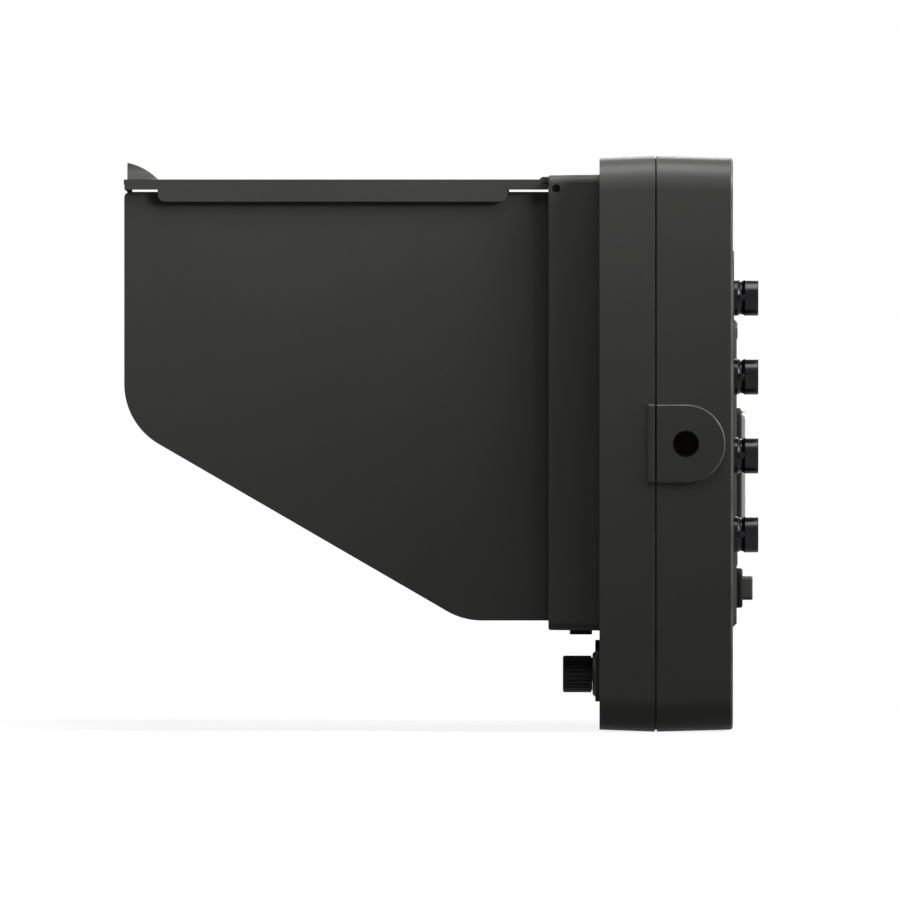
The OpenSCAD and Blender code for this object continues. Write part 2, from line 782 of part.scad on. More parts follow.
module rear_shell() {
    color("#3a3a36") seat()
        difference() {
            union() {
                difference() {
                    loft([
                        body_ring(seam_y1, 0),
                        body_ring(back_y - back_edge, body_draft),
                        body_ring(back_y, body_draft + back_edge)
                    ]);
                    plate_xz(hollow_outline(), seam_y1 - overrun, back_inner_y);
                }
                side_pads(seam_y1, back_y - back_edge);
                for (p = shell_screw_places)
                    rod_y(p[0], p[1], post_r, seam_y1, back_inner_y + overrun);
                for (p = io_places)
                    rod_y(p[0], p[1], io_post_r, io_board_y1, back_inner_y + overrun);
                both_sides()
                    rod_x(pad_y, pad_z, insert_r + insert_wall, insert_x0, body_w / 2 - overrun);
                rod_z(0, pad_y, insert_r + insert_wall, overrun, insert_z1);
                plate_xz(round_rect(
                        jack_x - jack_pad_w / 2, jack_x + jack_pad_w / 2,
                        jack_z - jack_pad_below, jack_zs[jack_count - 1] + jack_pad_above, panel_corner_r),
                    back_y - overrun, back_y + jack_pad_t);
            }
            both_sides() {
                rod_x(pad_y, pad_z, insert_r + fit_gap, insert_x0 - overrun, insert_x1);
                rod_x(pad_y, pad_z, thread_mouth_r, insert_x0, pad_face_x + overrun);
            }
            rod_z(0, pad_y, insert_r + fit_gap, insert_z0, insert_z1 + overrun);
            rod_z(0, pad_y, thread_mouth_r, -overrun, insert_z1);
            for (p = shell_screw_places) {
                rod_y(p[0], p[1], shell_screw_r + play, seam_y1 - overrun, back_y);
                rod_y(p[0], p[1], shell_head_r + sliding_gap, seam_y1 + screw_shoulder, back_y + overrun);
            }
            for (z = jack_zs)
                rod_y(jack_x, z, jack_r + sliding_gap, back_inner_y - overrun, back_y + overrun);
            for (z = video_z)
                socket_cut(z, video_w, video_h, sliding_gap);
            socket_cut(service_z, service_w, service_h, sliding_gap);
            rod_y(socket_x, earphone_z, earphone_r + sliding_gap,
                back_inner_y - overrun, back_y + overrun);
            rod_y(inlet_x, power_z, inlet_r + sliding_gap, back_inner_y - overrun, back_y + overrun);
            plate_xz(power_outline(sliding_gap), back_inner_y - overrun, back_y + overrun);
            vent_row(vent_count, vent_z, vent_h);
            vent_row(panel_vent_count, panel_vent_z, panel_vent_h);
            speaker_row();
            for (p = panel_screw_places)
                rod_y(p[0], p[1], small_screw_r + fit_gap, back_inner_y - overrun, back_y + overrun);
        }
}
// Places of the back panel's screws
panel_screw_places = [
    for (x = [back_panel_x0 + panel_screw_inset, back_panel_x1 - panel_screw_inset])
        for (z = panel_screw_zs)
            [x, z]
];

// Cuts that both the shell and the raised panel have
module socket_cut(z, w, h, gap) {
    block(socket_x - w / 2 - gap, socket_x + w / 2 + gap, back_inner_y - overrun,
        panel_face_y + overrun, z - h / 2 - gap, z + h / 2 + gap);
}
module vent_row(count, z, h) {
    for (i = [0 : count - 1])
        block((i - (count - 1) / 2) * vent_pitch - slot_w / 2,
            (i - (count - 1) / 2) * vent_pitch + slot_w / 2,
            back_inner_y - overrun, panel_face_y + overrun, z, z + h);
}
module speaker_row() {
    for (i = [0 : speaker_slots - 1])
        block(speaker_x + (i - (speaker_slots - 1) / 2) * speaker_pitch - slot_w / 2,
            speaker_x + (i - (speaker_slots - 1) / 2) * speaker_pitch + slot_w / 2,
            back_inner_y - overrun, panel_face_y + overrun,
            speaker_z - speaker_slot_h / 2, speaker_z + speaker_slot_h / 2);
}

module seam_gasket() {
    color("#161616") seat()
        difference() {
            plate_xz(round_rect(
                    -body_w / 2 + seam_groove, body_w / 2 - seam_groove, seam_groove,
                    body_h - seam_groove, body_corner_r - seam_groove),
                seam_y0, seam_y1);
            plate_xz(hollow_outline(), seam_y0 - overrun, seam_y1 + overrun);
        }
}

module screen_glass() {
    color("#101214") seat()
        plate_xz(round_rect(
                -glass_w / 2, glass_w / 2, display_z - glass_h / 2, display_z + glass_h / 2,
                glass_corner_r),
            glass_recess, glass_y1);
}
module display_panel() {
    color("#1c2126") seat()
        block(-lcd_w / 2, lcd_w / 2, face_wall, lcd_y1, display_z - lcd_h / 2, display_z + lcd_h / 2);
}
module backlight() {
    color("#d8d8d2") seat()
        block(-lcd_w / 2, lcd_w / 2, lcd_y1, backlight_y1,
            display_z - lcd_h / 2, display_z + lcd_h / 2);
}
module panel_bracket() {
    color("#9a9c9c") seat()
        difference() {
            union() {
                block(-lcd_w / 2, lcd_w / 2, backlight_y1, bracket_y1,
                    display_z - lcd_h / 2, display_z + lcd_h / 2);
                for (p = bracket_places)
                    block(min(p[0], sign(p[0]) * (lcd_w / 2 - overrun)) - (p[0] < 0 ? bracket_tail : 0),
                        max(p[0], sign(p[0]) * (lcd_w / 2 - overrun)) + (p[0] > 0 ? bracket_tail : 0),
                        backlight_y1, bracket_y1, p[1] - bracket_tail, p[1] + bracket_tail);
                for (p = board_places)
                    rod_y(p[0], p[1], spacer_r, backlight_y1, main_board_y0);
            }
            for (p = bracket_places)
                rod_y(p[0], p[1], small_screw_r + fit_gap, backlight_y1 - overrun, bracket_y1 + overrun);
            for (p = board_places)
                rod_y(p[0], p[1], small_screw_r + fit_gap, bracket_y1, main_board_y0 + overrun);
        }
}

module main_board() {
    color("#1f3d2a") seat()
        difference() {
            block(-board_w / 2, board_w / 2, main_board_y0, main_board_y1,
                board_z - board_h / 2, board_z + board_h / 2);
            for (p = board_places)
                rod_y(p[0], p[1], small_screw_r + fit_gap, main_board_y0 - overrun,
                    main_board_y1 + overrun);
        }
}
module processor() {
    color("#1a1a1a") seat()
        block(-chip_w / 2, chip_w / 2, main_board_y1, main_board_y1 + chip_t,
            board_z - chip_w / 2, board_z + chip_w / 2);
}
module heat_sink() {
    sink_y0 = main_board_y1 + chip_t;
    color("#8f9294") seat() {
        block(-sink_w / 2, sink_w / 2, sink_y0, sink_y0 + sink_base,
            board_z - sink_w / 2, board_z + sink_w / 2);
        for (i = [0 : sink_fins - 1]) {
            x = -sink_w / 2 + i * (sink_w - fin_t) / (sink_fins - 1);
            block(x, x + fin_t, sink_y0 + sink_base / 2, sink_y0 + sink_h,
                board_z - sink_w / 2, board_z + sink_w / 2);
        }
    }
}
module io_board() {
    color("#1f3d2a") seat()
        difference() {
            block(io_board_x0, io_board_x1, io_board_y0, io_board_y1, io_board_z0, io_board_z1);
            for (p = io_places)
                rod_y(p[0], p[1], small_screw_r + fit_gap, io_board_y0 - overrun,
                    io_board_y1 + overrun);
        }
}
module jack_board() {
    color("#1f3d2a") seat()
        block(jack_x - jack_board_w / 2, jack_x + jack_board_w / 2,
            back_inner_y - jack_flange_t - board_t, back_inner_y - jack_flange_t,
            jack_z - jack_board_margin, jack_zs[jack_count - 1] + jack_board_margin);
}
module input_board() {
    color("#1f3d2a") seat()
        block(-input_board_w / 2, input_board_w / 2, input_board_y0, input_board_y0 + board_t,
            strip_z - input_board_h / 2, strip_z + input_board_h / 2);
}
module key_switches() {
    color("#2b2b2b") seat()
        for (x = key_xs)
            block(x - switch_w / 2, x + switch_w / 2, switch_y0, input_board_y0,
                key_z - switch_w / 2, key_z + switch_w / 2);
}

// Outline of one push key, grown all round by a gap
function key_outline(x, gap) = round_rect(
    x - key_w / 2 - gap, x + key_w / 2 + gap, key_z - key_h / 2 - gap, key_z + key_h / 2 + gap,
    key_corner_r);
module push_key(index) {
    x = key_xs[index];
    y0 = -strip_t - key_proud;
    color("#4a4a48") seat() {
        loft([
            ring(x - key_w / 2, x + key_w / 2, key_z - key_h / 2, key_z + key_h / 2,
                key_corner_r, y0, key_edge),
            ring(x - key_w / 2, x + key_w / 2, key_z - key_h / 2, key_z + key_h / 2,
                key_corner_r, y0 + key_edge, 0),
            ring(x - key_w / 2, x + key_w / 2, key_z - key_h / 2, key_z + key_h / 2,
                key_corner_r, face_wall + play + key_flange_t / 2, 0)
        ]);
        plate_xz(key_outline(x, key_flange), face_wall + play, face_wall + play + key_flange_t);
    }
}
module status_lens() {
    color("#b9c4c0") seat()
        rod_y(lens_x, strip_z, lens_r, -strip_t - lens_proud, face_wall);
}
module control_strip() {
    x = strip_w / 2;
    z0 = strip_z - strip_h / 2;
    z1 = strip_z + strip_h / 2;
    color("#33332f") seat()
        difference() {
            loft([
                ring(-x, x, z0, z1, strip_corner_r, -strip_t, strip_edge),
                ring(-x, x, z0, z1, strip_corner_r, -strip_t + strip_edge, 0),
                ring(-x, x, z0, z1, strip_corner_r, 0, 0)
            ]);
            for (kx = key_xs)
                plate_xz(key_outline(kx, sliding_gap), -strip_t - overrun, overrun);
            rod_y(knob_x, strip_z, bushing_r + play, -strip_t - overrun, overrun);
            rod_y(lens_x, strip_z, lens_r + running_gap, -strip_t - overrun, overrun);
        }
}

// A point at radius r and angle a
function polar(r, a) = r * [cos(a), sin(a)];
// The knob's ribbed outline, in X and Z about its own axis
function knob_outline() = [
    for (i = [0 : knob_ribs - 1])
        let (
            step = 360 / knob_ribs,
            foot = rib_foot_share * step / 2,
            crest = rib_crest_share * step / 2
        )
        each [
            polar(knob_r - knob_rib_h, i * step - foot),
            polar(knob_r, i * step - crest),
            polar(knob_r, i * step + crest),
            polar(knob_r - knob_rib_h, i * step + foot)
        ]
];
module control_knob() {
    color("#2c2c2a") seat()
        translate([knob_x, 0, strip_z])
            difference() {
                intersection() {
                    plate_xz(knob_outline(), knob_y0, knob_y1);
                    turned(0, 0, [
                        [0, knob_y0],
                        [knob_r - knob_chamfer, knob_y0],
                        [knob_r + fit_gap, knob_y0 + knob_chamfer],
                        [knob_r + fit_gap, knob_y1],
                        [0, knob_y1]
                    ]);
                }
                rod_y(0, 0, shaft_r + fit_gap, knob_y0 + knob_cap, knob_y1 + overrun);
            }
}
module knob_collar() {
    color("#2f2f2c") seat()
        difference() {
            turned(knob_x, strip_z, [
                [0, -strip_t - collar_t],
                [collar_r - collar_t, -strip_t - collar_t],
                [collar_r, -strip_t],
                [0, -strip_t]
            ]);
            rod_y(knob_x, strip_z, bushing_r + play, -strip_t - collar_t - overrun,
                -strip_t + overrun);
        }
}
module encoder_body() {
    color("#7d8082") seat()
        difference() {
            union() {
                block(knob_x - encoder_w / 2, knob_x + encoder_w / 2,
                    face_wall + play, input_board_y0,
                    strip_z - encoder_w / 2, strip_z + encoder_w / 2);
                rod_y(knob_x, strip_z, bushing_r, -strip_t - collar_t, face_wall + overrun);
            }
            rod_y(knob_x, strip_z, shaft_r + running_gap, -strip_t - collar_t - overrun,
                input_board_y0 - encoder_floor);
        }
}
module encoder_shaft() {
    color("#b5b7b8") seat()
        rod_y(knob_x, strip_z, shaft_r, knob_y0 + knob_cap, input_board_y0 - encoder_floor - play);
}

module rear_panel() {
    color("#363633") seat()
        difference() {
            loft([
                ring(back_panel_x0, back_panel_x1, back_panel_z0, back_panel_z1,
                    panel_corner_r, back_y, 0),
                ring(back_panel_x0, back_panel_x1, back_panel_z0, back_panel_z1,
                    panel_corner_r, panel_face_y, panel_slope)
            ]);
            for (z = video_z)
                socket_cut(z, video_w, video_h, sliding_gap);
            socket_cut(service_z, service_w, service_h, sliding_gap);
            rod_y(socket_x, earphone_z, earphone_r + sliding_gap, back_y - overrun,
                panel_face_y + overrun);
            rod_y(inlet_x, power_z, inlet_r + sliding_gap, back_y - overrun, panel_face_y + overrun);
            plate_xz(power_outline(sliding_gap), back_y - overrun, panel_face_y + overrun);
            vent_row(panel_vent_count, panel_vent_z, panel_vent_h);
            speaker_row();
            for (p = panel_screw_places)
                rod_y(p[0], p[1], small_screw_r + fit_gap, back_y - overrun, panel_face_y + overrun);
        }
}
module rear_panel_screws() {
    color("#5a5a58") seat()
        for (p = panel_screw_places) {
            rod_y(p[0], p[1], small_head_r, panel_face_y, panel_face_y + panel_head_t);
            rod_y(p[0], p[1], small_screw_r, panel_face_y - panel_screw_len,
                panel_face_y + panel_head_t / 2);
        }
}

// One coaxial jack, turned about its own axis, with its two bayonet lugs
module jack_body(z) {
    y0 = back_inner_y - jack_flange_t;
    waist = [
        for (i = [0 : corner_steps])
            [
                jack_r - jack_waist * sin(180 * i / corner_steps),
                back_y + jack_base_end + (jack_waist_end - jack_base_end) * i / corner_steps
            ]
    ];
    difference() {
        union() {
            turned(jack_x, z, concat(
                [[0, y0], [jack_flange_r, y0], [jack_flange_r, back_inner_y], [jack_r, back_inner_y]],
                waist,
                [[jack_r, jack_end_y - jack_edge], [jack_r - jack_edge, jack_end_y], [0, jack_end_y]]));
            rod_x(back_y + (jack_base_end + jack_waist_end) / 2, z, lug_r,
                jack_x - jack_r - lug_out, jack_x + jack_r + lug_out);
        }
        rod_y(jack_x, z, jack_bore_r, y0 + jack_flange_t + jack_floor, jack_end_y + overrun);
    }
}
module jack_bodies() {
    color("#55575a") seat()
        for (z = jack_zs) jack_body(z);
}
module jack_insulators() {
    y0 = back_inner_y + jack_floor;
    color("#e6e4dc") seat()
        for (z = jack_zs)
            turned(jack_x, z, [
                [contact_r + fit_gap, y0],
                [jack_bore_r - fit_gap, y0],
                [jack_bore_r - fit_gap, y0 + insulator_back],
                [insulator_r, y0 + insulator_back],
                [insulator_r, jack_end_y - insulator_inset],
                [contact_r + fit_gap, jack_end_y - insulator_inset]
            ]);
}
module jack_contacts() {
    y0 = back_inner_y + jack_floor;
    color("#c9a227") seat()
        for (z = jack_zs)
            difference() {
                rod_y(jack_x, z, contact_r, y0, jack_end_y - insulator_inset - play);
                rod_y(jack_x, z, contact_bore_r, y0 + insulator_back, jack_end_y);
            }
}

// A metal socket with a tongue inside, on the board behind the back panel
module socket(z, w, h, tongue) {
    difference() {
        block(socket_x - w / 2, socket_x + w / 2, io_board_y1, socket_y1, z - h / 2, z + h / 2);
        block(socket_x - w / 2 + video_wall, socket_x + w / 2 - video_wall,
            io_board_y1 + video_floor, socket_y1 + overrun,
            z - h / 2 + video_wall, z + h / 2 - video_wall);
    }
    block(socket_x - w / 2 + 4 * video_wall, socket_x + w / 2 - 4 * video_wall,
        io_board_y1 + video_floor / 2, socket_y1 - video_floor,
        z - tongue / 2, z + tongue / 2);
}
module video_sockets() {
    color("#8d8f90") seat()
        for (z = video_z) socket(z, video_w, video_h, tongue_t);
}
module service_socket() {
    color("#8d8f90") seat() socket(service_z, service_w, service_h, 1.8 * tongue_t);
}
module earphone_socket() {
    color("#202020") seat()
        difference() {
            rod_y(socket_x, earphone_z, earphone_r, io_board_y1, socket_y1);
            rod_y(socket_x, earphone_z, earphone_bore_r, io_board_y1 + video_floor,
                socket_y1 + overrun);
        }
}
module power_inlet() {
    color("#3c3d3f") seat() {
        difference() {
            rod_y(inlet_x, power_z, inlet_r, io_board_y1, panel_face_y + inlet_out);
            rod_y(inlet_x, power_z, inlet_bore_r, io_board_y1 + video_floor,
                panel_face_y + inlet_out + overrun);
        }
        rod_y(inlet_x, power_z, inlet_pin_r, io_board_y1 + video_floor / 2, panel_face_y);
    }
}

// Outline of the power button, grown all round by a gap
function power_outline(gap) = round_rect(
    power_x - power_w / 2 - gap, power_x + power_w / 2 + gap,
    power_z - power_h / 2 - gap, power_z + power_h / 2 + gap, key_corner_r);
module power_bezel() {
    x0 = power_x - bezel_w / 2;
    x1 = power_x + bezel_w / 2;
    z0 = power_z - bezel_h / 2;
    z1 = power_z + bezel_h / 2;
    color("#232321") seat()
        difference() {
            loft([
                ring(x0, x1, z0, z1, 2 * key_corner_r, panel_face_y, 0),
                ring(x0, x1, z0, z1, 2 * key_corner_r, panel_face_y + bezel_t - bezel_edge, 0),
                ring(x0, x1, z0, z1, 2 * key_corner_r, panel_face_y + bezel_t, bezel_edge)
            ]);
            plate_xz(power_outline(sliding_gap), panel_face_y - overrun,
                panel_face_y + bezel_t + overrun);
        }
}
module power_button() {
    x0 = power_x - power_w / 2;
    x1 = power_x + power_w / 2;
    z0 = power_z - power_h / 2;
    z1 = power_z + power_h / 2;
    y1 = back_inner_y - play;
    color("#4b4b4b") seat() {
        loft([
            ring(x0, x1, z0, z1, key_corner_r, y1 - power_flange_t / 2, 0),
            ring(x0, x1, z0, z1, key_corner_r, panel_face_y + power_out - power_edge, 0),
            ring(x0, x1, z0, z1, key_corner_r, panel_face_y + power_out, power_edge)
        ]);
        plate_xz(power_outline(power_flange), y1 - power_flange_t, y1);
    }
}
module power_switch() {
    color("#2b2b2b") seat()
        block(power_x - power_h / 2, power_x + power_h / 2, io_board_y1,
            back_inner_y - 2 * play - power_flange_t - power_travel,
            power_z - power_h / 2, power_z + power_h / 2);
}

module battery_plate() {
    x = battery_w / 2;
    z0 = battery_z - battery_h / 2;
    z1 = battery_z + battery_h / 2;
    color("#2a2a28") seat()
        difference() {
            loft([
                ring(-x, x, z0, z1, battery_corner_r, panel_face_y, 0),
                ring(-x, x, z0, z1, battery_corner_r, panel_face_y + battery_t - battery_edge, 0),
                ring(-x, x, z0, z1, battery_corner_r, panel_face_y + battery_t, battery_edge)
            ]);
            block(release_x1 - release_w - release_travel - sliding_gap, release_x1 + sliding_gap,
                panel_face_y - overrun, panel_face_y + battery_t + overrun,
                battery_z - release_h / 2 - sliding_gap, battery_z + release_h / 2 + sliding_gap);
        }
}
module battery_lock_plate() {
    z0 = battery_z - battery_h / 2 + lock_margin;
    z1 = battery_z + battery_h / 2 - lock_margin;
    y0 = panel_face_y + battery_t;
    color("#b9baba") seat()
        difference() {
            loft([
                ring(lock_x0, lock_x1, z0, z1, battery_corner_r, y0, 0),
                ring(lock_x0, lock_x1, z0, z1, battery_corner_r, y0 + lock_t - lock_edge, 0),
                ring(lock_x0, lock_x1, z0, z1, battery_corner_r, y0 + lock_t, lock_edge)
            ]);
            block(contact_x - contact_w / 2 - loose_gap, contact_x + contact_w / 2 + loose_gap,
                y0 - overrun, y0 + lock_t + overrun,
                battery_z - 1.5 * contact_pitch, battery_z + 1.5 * contact_pitch);
            for (sx = lock_slot_xs_share)
                for (sz = [-1, 1])
                    block(lock_x0 + sx * (lock_x1 - lock_x0) - lock_slot_w / 2,
                        lock_x0 + sx * (lock_x1 - lock_x0) + lock_slot_w / 2,
                        y0 - overrun, y0 + lock_t + overrun,
                        battery_z + sz * lock_slot_z - lock_slot_h / 2,
                        battery_z + sz * lock_slot_z + lock_slot_h / 2);
        }
}
module battery_contacts() {
    y0 = panel_face_y + battery_t;
    color("#c9a227") seat()
        for (i = [-1 : 1])
            block(contact_x - contact_w / 2, contact_x + contact_w / 2, y0, y0 + contact_h,
                battery_z + i * contact_pitch - contact_t / 2,
                battery_z + i * contact_pitch + contact_t / 2);
}
module battery_release() {
    color("#4a4a48") seat()
        block(release_x1 - release_w, release_x1, panel_face_y + release_lift,
            panel_face_y + battery_t + release_out,
            battery_z - release_h / 2, battery_z + release_h / 2);
}
module speaker() {
    color("#1d1d1d") seat()
        block(speaker_x - speaker_w / 2, speaker_x + speaker_w / 2,
            back_inner_y - speaker_d, back_inner_y,
            speaker_z - speaker_h / 2, speaker_z + speaker_h / 2);
}

module side_inserts() {
    color("#a8884a") seat()
        both_sides()
            difference() {
                rod_x(pad_y, pad_z, insert_r, insert_x0, insert_x1);
                rod_x(pad_y, pad_z, thread_r, insert_x0 + insert_floor, insert_x1 + overrun);
            }
}
module tripod_insert() {
    color("#a8884a") seat()
        difference() {
            rod_z(0, pad_y, insert_r, insert_z0, insert_z1);
            rod_z(0, pad_y, thread_r, insert_z0 - overrun, insert_z1 - insert_floor);
        }
}
module shell_screws() {
    y = seam_y1 + screw_shoulder;
    color("#6b6d6e") seat()
        for (p = shell_screw_places) {
            rod_y(p[0], p[1], shell_head_r, y, y + screw_head_t);
            rod_y(p[0], p[1], shell_screw_r, seam_y0 - screw_bite + play, y + screw_head_t / 2);
        }
}
module board_screws() {
    color("#8a8c8d") seat() {
        for (p = bracket_places) {
            rod_y(p[0], p[1], small_head_r, bracket_y1, bracket_y1 + bracket_t);
            rod_y(p[0], p[1], small_screw_r, backlight_y1 - small_screw_bite + play,
                bracket_y1 + bracket_t / 2);
        }
        for (p = board_places) {
            rod_y(p[0], p[1], small_head_r, main_board_y1, main_board_y1 + bracket_t);
            rod_y(p[0], p[1], small_screw_r, bracket_y1 + play, main_board_y1 + bracket_t / 2);
        }
        for (p = io_places) {
            rod_y(p[0], p[1], small_head_r, io_board_y0 - bracket_t, io_board_y0);
            rod_y(p[0], p[1], small_screw_r, io_board_y0 - bracket_t / 2, io_board_y1);
        }
    }
}

module hood_frame() {
    x = frame_w / 2;
    color("#343431") seat()
        difference() {
            union() {
                difference() {
                    loft([
                        ring(-x, x, frame_z0 + frame_draft / 2, frame_z1 - frame_draft / 2,
                            frame_corner_r, -frame_depth, frame_chamfer),
                        ring(-x, x, frame_z0 + frame_draft / 2, frame_z1 - frame_draft / 2,
                            frame_corner_r, -frame_depth + frame_chamfer, 0),
                        ring(-x, x, frame_z0 - frame_draft / 2, frame_z1 + frame_draft / 2,
                            frame_corner_r, 0, 0)
                    ]);
                    plate_xz(round_rect(-frame_inner_w / 2, frame_inner_w / 2,
                            frame_inner_z0, frame_inner_z1, frame_inner_r),
                        -frame_depth - overrun, overrun);
                    block(-frame_inner_w / 2, frame_inner_w / 2,
                        -frame_depth - overrun, -frame_top_depth,
                        frame_zc, frame_z1 + overrun);
                }
                for (sx = tab_xs_share)
                    for (z = tab_zs)
                        block(sx * frame_w - tab_w / 2, sx * frame_w + tab_w / 2,
                            -overrun, tab_len, z - tab_t / 2, z + tab_t / 2);
            }
            rod_x(hinge_y, flap_pin_z, flap_pin_r + fit_gap, -x - overrun, x + overrun);
            for (p = panel_pin_places) {
                rod_z(p[0], p[1], panel_pin_r + fit_gap, frame_inner_z0 - pin_seat,
                    frame_inner_z0 + overrun);
                rod_z(p[0], p[1], panel_pin_r + fit_gap, frame_inner_z1 - overrun,
                    frame_inner_z1 + pin_seat);
            }
            block(-latch_stem_w / 2 - sliding_gap, latch_stem_w / 2 + latch_travel + sliding_gap,
                latch_y - latch_stem_d / 2 - sliding_gap, latch_y + latch_stem_d / 2 + sliding_gap,
                frame_z0 - overrun, frame_inner_z0);
            block(-latch_plate_w / 2 - sliding_gap, latch_plate_w / 2 + latch_travel + sliding_gap,
                latch_y - latch_d / 2 - sliding_gap, latch_y + latch_d / 2 + sliding_gap,
                frame_z0 + latch_bed, frame_inner_z0 + overrun);
        }
}
panel_pin_places = [[panel_xc, -right_hinge_y], [-panel_xc, -left_hinge_y]];

module hood_latch() {
    color("#1c1c1b") seat() {
        block(-latch_w / 2, latch_w / 2, latch_y - latch_d / 2, latch_y + latch_d / 2,
            latch_z1 - latch_t, latch_z1);
        block(-latch_stem_w / 2, latch_stem_w / 2,
            latch_y - latch_stem_d / 2, latch_y + latch_stem_d / 2,
            latch_z1 - latch_t / 2, frame_z0 + latch_bed + play);
    }
}
module latch_plate() {
    color("#55575a") seat()
        block(-latch_plate_w / 2, latch_plate_w / 2, latch_y - latch_d / 2, latch_y + latch_d / 2,
            frame_z0 + latch_bed + play, frame_z0 + latch_bed + play + latch_plate_t);
}

// Side flange of the flap, outline in Y and Z
function flange_outline() = rounded(
    [
        [-hood_reach + flange_front_inset, flange_z0],
        [flap_rear_y - flange_rear_inset, flange_z0],
        [flap_rear_y - flange_rear_inset, flap_z1],
        [-hood_reach + flange_front_inset, flap_z1]
    ],
    [flange_r, flange_r, 0, 0], corner_steps);
// Hinge ear of the flap without its round end
function ear_outline() = [
    [flap_rear_y - rib_d, flap_under],
    [flap_rear_y, flap_under],
    [hinge_y - ear_r, flap_pin_z],
    [hinge_y, flap_pin_z],
    [hinge_y, flap_pin_z + ear_r],
    [flap_rear_y, flap_z1 + rib_h],
    [flap_rear_y - rib_d, flap_z1 + rib_h]
];
// Rib over the rear edge, and the curved lip that hides the hinge gap
function rib_outline() = [
    [flap_rear_y - rib_d - rib_slope, flap_z1 - 0.5 * flap_t],
    [flap_rear_y, flap_z1 - 0.5 * flap_t],
    [flap_rear_y, flap_z1 + rib_h],
    [flap_rear_y - rib_d, flap_z1 + rib_h],
    [flap_rear_y - rib_d - rib_slope, flap_z1]
];
function lip_outline() = concat(
    arc([hinge_y, flap_pin_z], lip_r, lip_angle, 0, 2 * corner_steps),
    arc([hinge_y, flap_pin_z], lip_r - lip_t, 0, lip_angle, 2 * corner_steps));
// The finger grip's outline from the side: an upright front and an arc down to the sheet
function grip_outline() =
    let (
        p = [-hood_reach, flap_z1 + grip_h],
        q = [-hood_reach + grip_d, flap_z1],
        along = unit(q - p),
        half = norm(q - p) / 2,
        centre = (p + q) / 2 + [along[1], -along[0]] * sqrt(grip_arc_r * grip_arc_r - half * half),
        a0 = atan2(p[1] - centre[1], p[0] - centre[0]),
        a1 = atan2(q[1] - centre[1], q[0] - centre[0])
    )
    concat(
        [[-hood_reach, flap_z1 - 0.5 * flap_t], [-hood_reach + grip_d, flap_z1 - 0.5 * flap_t]],
        arc(centre, grip_arc_r, a1, a0, 2 * corner_steps));
// The finger grip's outline from the front: both flanks sweep in to an upright edge
function grip_front() = concat(
    [[-grip_w / 2, flap_under], [grip_w / 2, flap_under]],
    arc([grip_w / 2, flap_z1 + grip_h], grip_h, 270, 180, 2 * corner_steps),
    arc([-grip_w / 2, flap_z1 + grip_h], grip_h, 0, -90, 2 * corner_steps));
// The catch under the front edge, a hook with a slanted nose
function catch_outline() = [
    [catch_y, flap_under - catch_h + catch_nose],
    [catch_y + catch_nose, flap_under - catch_h],
    [catch_y + catch_d, flap_under - catch_h],
    [catch_y + catch_d, flap_under + 0.5 * flap_t],
    [catch_y + catch_d / 2, flap_under + 0.5 * flap_t],
    [catch_y, flap_under - catch_h + 2 * catch_nose]
];
module top_flap() {
    color("#3e3e3c") seat() {
        translate([0, 0, flap_under]) linear_extrude(flap_t)
            polygon(rounded(
                [
                    [-flap_half_w, -hood_reach], [flap_half_w, -hood_reach],
                    [flap_half_w, flap_rear_y], [-flap_half_w, flap_rear_y]
                ],
                [flap_corner_r, flap_corner_r, 0, 0], corner_steps));
        plate_yz(rib_outline(), -flap_half_w, flap_half_w);
        plate_yz(lip_outline(), -panel_x0 + 2 * loose_gap, panel_x0 - 2 * loose_gap);
        both_sides() {
            plate_yz(flange_outline(), flap_half_w - flange_t, flap_half_w);
            difference() {
                union() {
                    plate_yz(ear_outline(), flap_half_w - flange_t, flap_half_w);
                    rod_x(hinge_y, flap_pin_z, ear_r, flap_half_w - flange_t, flap_half_w);
                }
                rod_x(hinge_y, flap_pin_z, pin_bore_r, flap_half_w - flange_t - overrun,
                    flap_half_w + overrun);
            }
        }
        intersection() {
            plate_yz(grip_outline(), -grip_w / 2, grip_w / 2);
            plate_xz(grip_front(), -hood_reach - overrun, -hood_reach + grip_d + overrun);
        }
        plate_yz(catch_outline(), -catch_w / 2, catch_w / 2);
    }
}
module flap_pins() {
    color("#1a1a1a") seat()
        both_sides()
            rod_x(hinge_y, flap_pin_z, flap_pin_r, flap_half_w - flange_t - play,
                frame_w / 2 - pin_recess);
}

// Outline of a side panel that hinges at depth y
function panel_outline(y) = rounded(
    [
        [y, panel_z0],
        [y, panel_z1],
        [panel_front_y, panel_z1],
        [panel_front_y, panel_knee_z],
        [-panel_heel_y, panel_z0]
    ],
    [0, 0, panel_tip_r, panel_knee_r, panel_knee_r], knee_steps);
// One side panel with its hinge barrel, drawn on the right-hand side
module side_panel(y) {
    difference() {
        union() {
            plate_yz(panel_outline(y), panel_x0, panel_x1);
            rod_z(panel_xc, y, barrel_r, panel_z0, panel_z1);
        }
        rod_z(panel_xc, y, panel_pin_r + running_gap, panel_z0 - overrun, panel_z0 + pin_hold + play);
        rod_z(panel_xc, y, panel_pin_r + running_gap, panel_z1 - pin_hold - play, panel_z1 + overrun);
    }
}
module side_panel_right() {
    color("#393937") seat() side_panel(-right_hinge_y);
}
module side_panel_left() {
    color("#393937") seat() mirror([1, 0, 0]) side_panel(-left_hinge_y);
}
module panel_pins() {
    color("#77797a") seat()
        for (p = panel_pin_places) {
            rod_z(p[0], p[1], panel_pin_r, frame_inner_z0 - pin_seat, panel_z0 + pin_hold);
            rod_z(p[0], p[1], panel_pin_r, panel_z1 - pin_hold, frame_inner_z1 + pin_seat);
        }
}

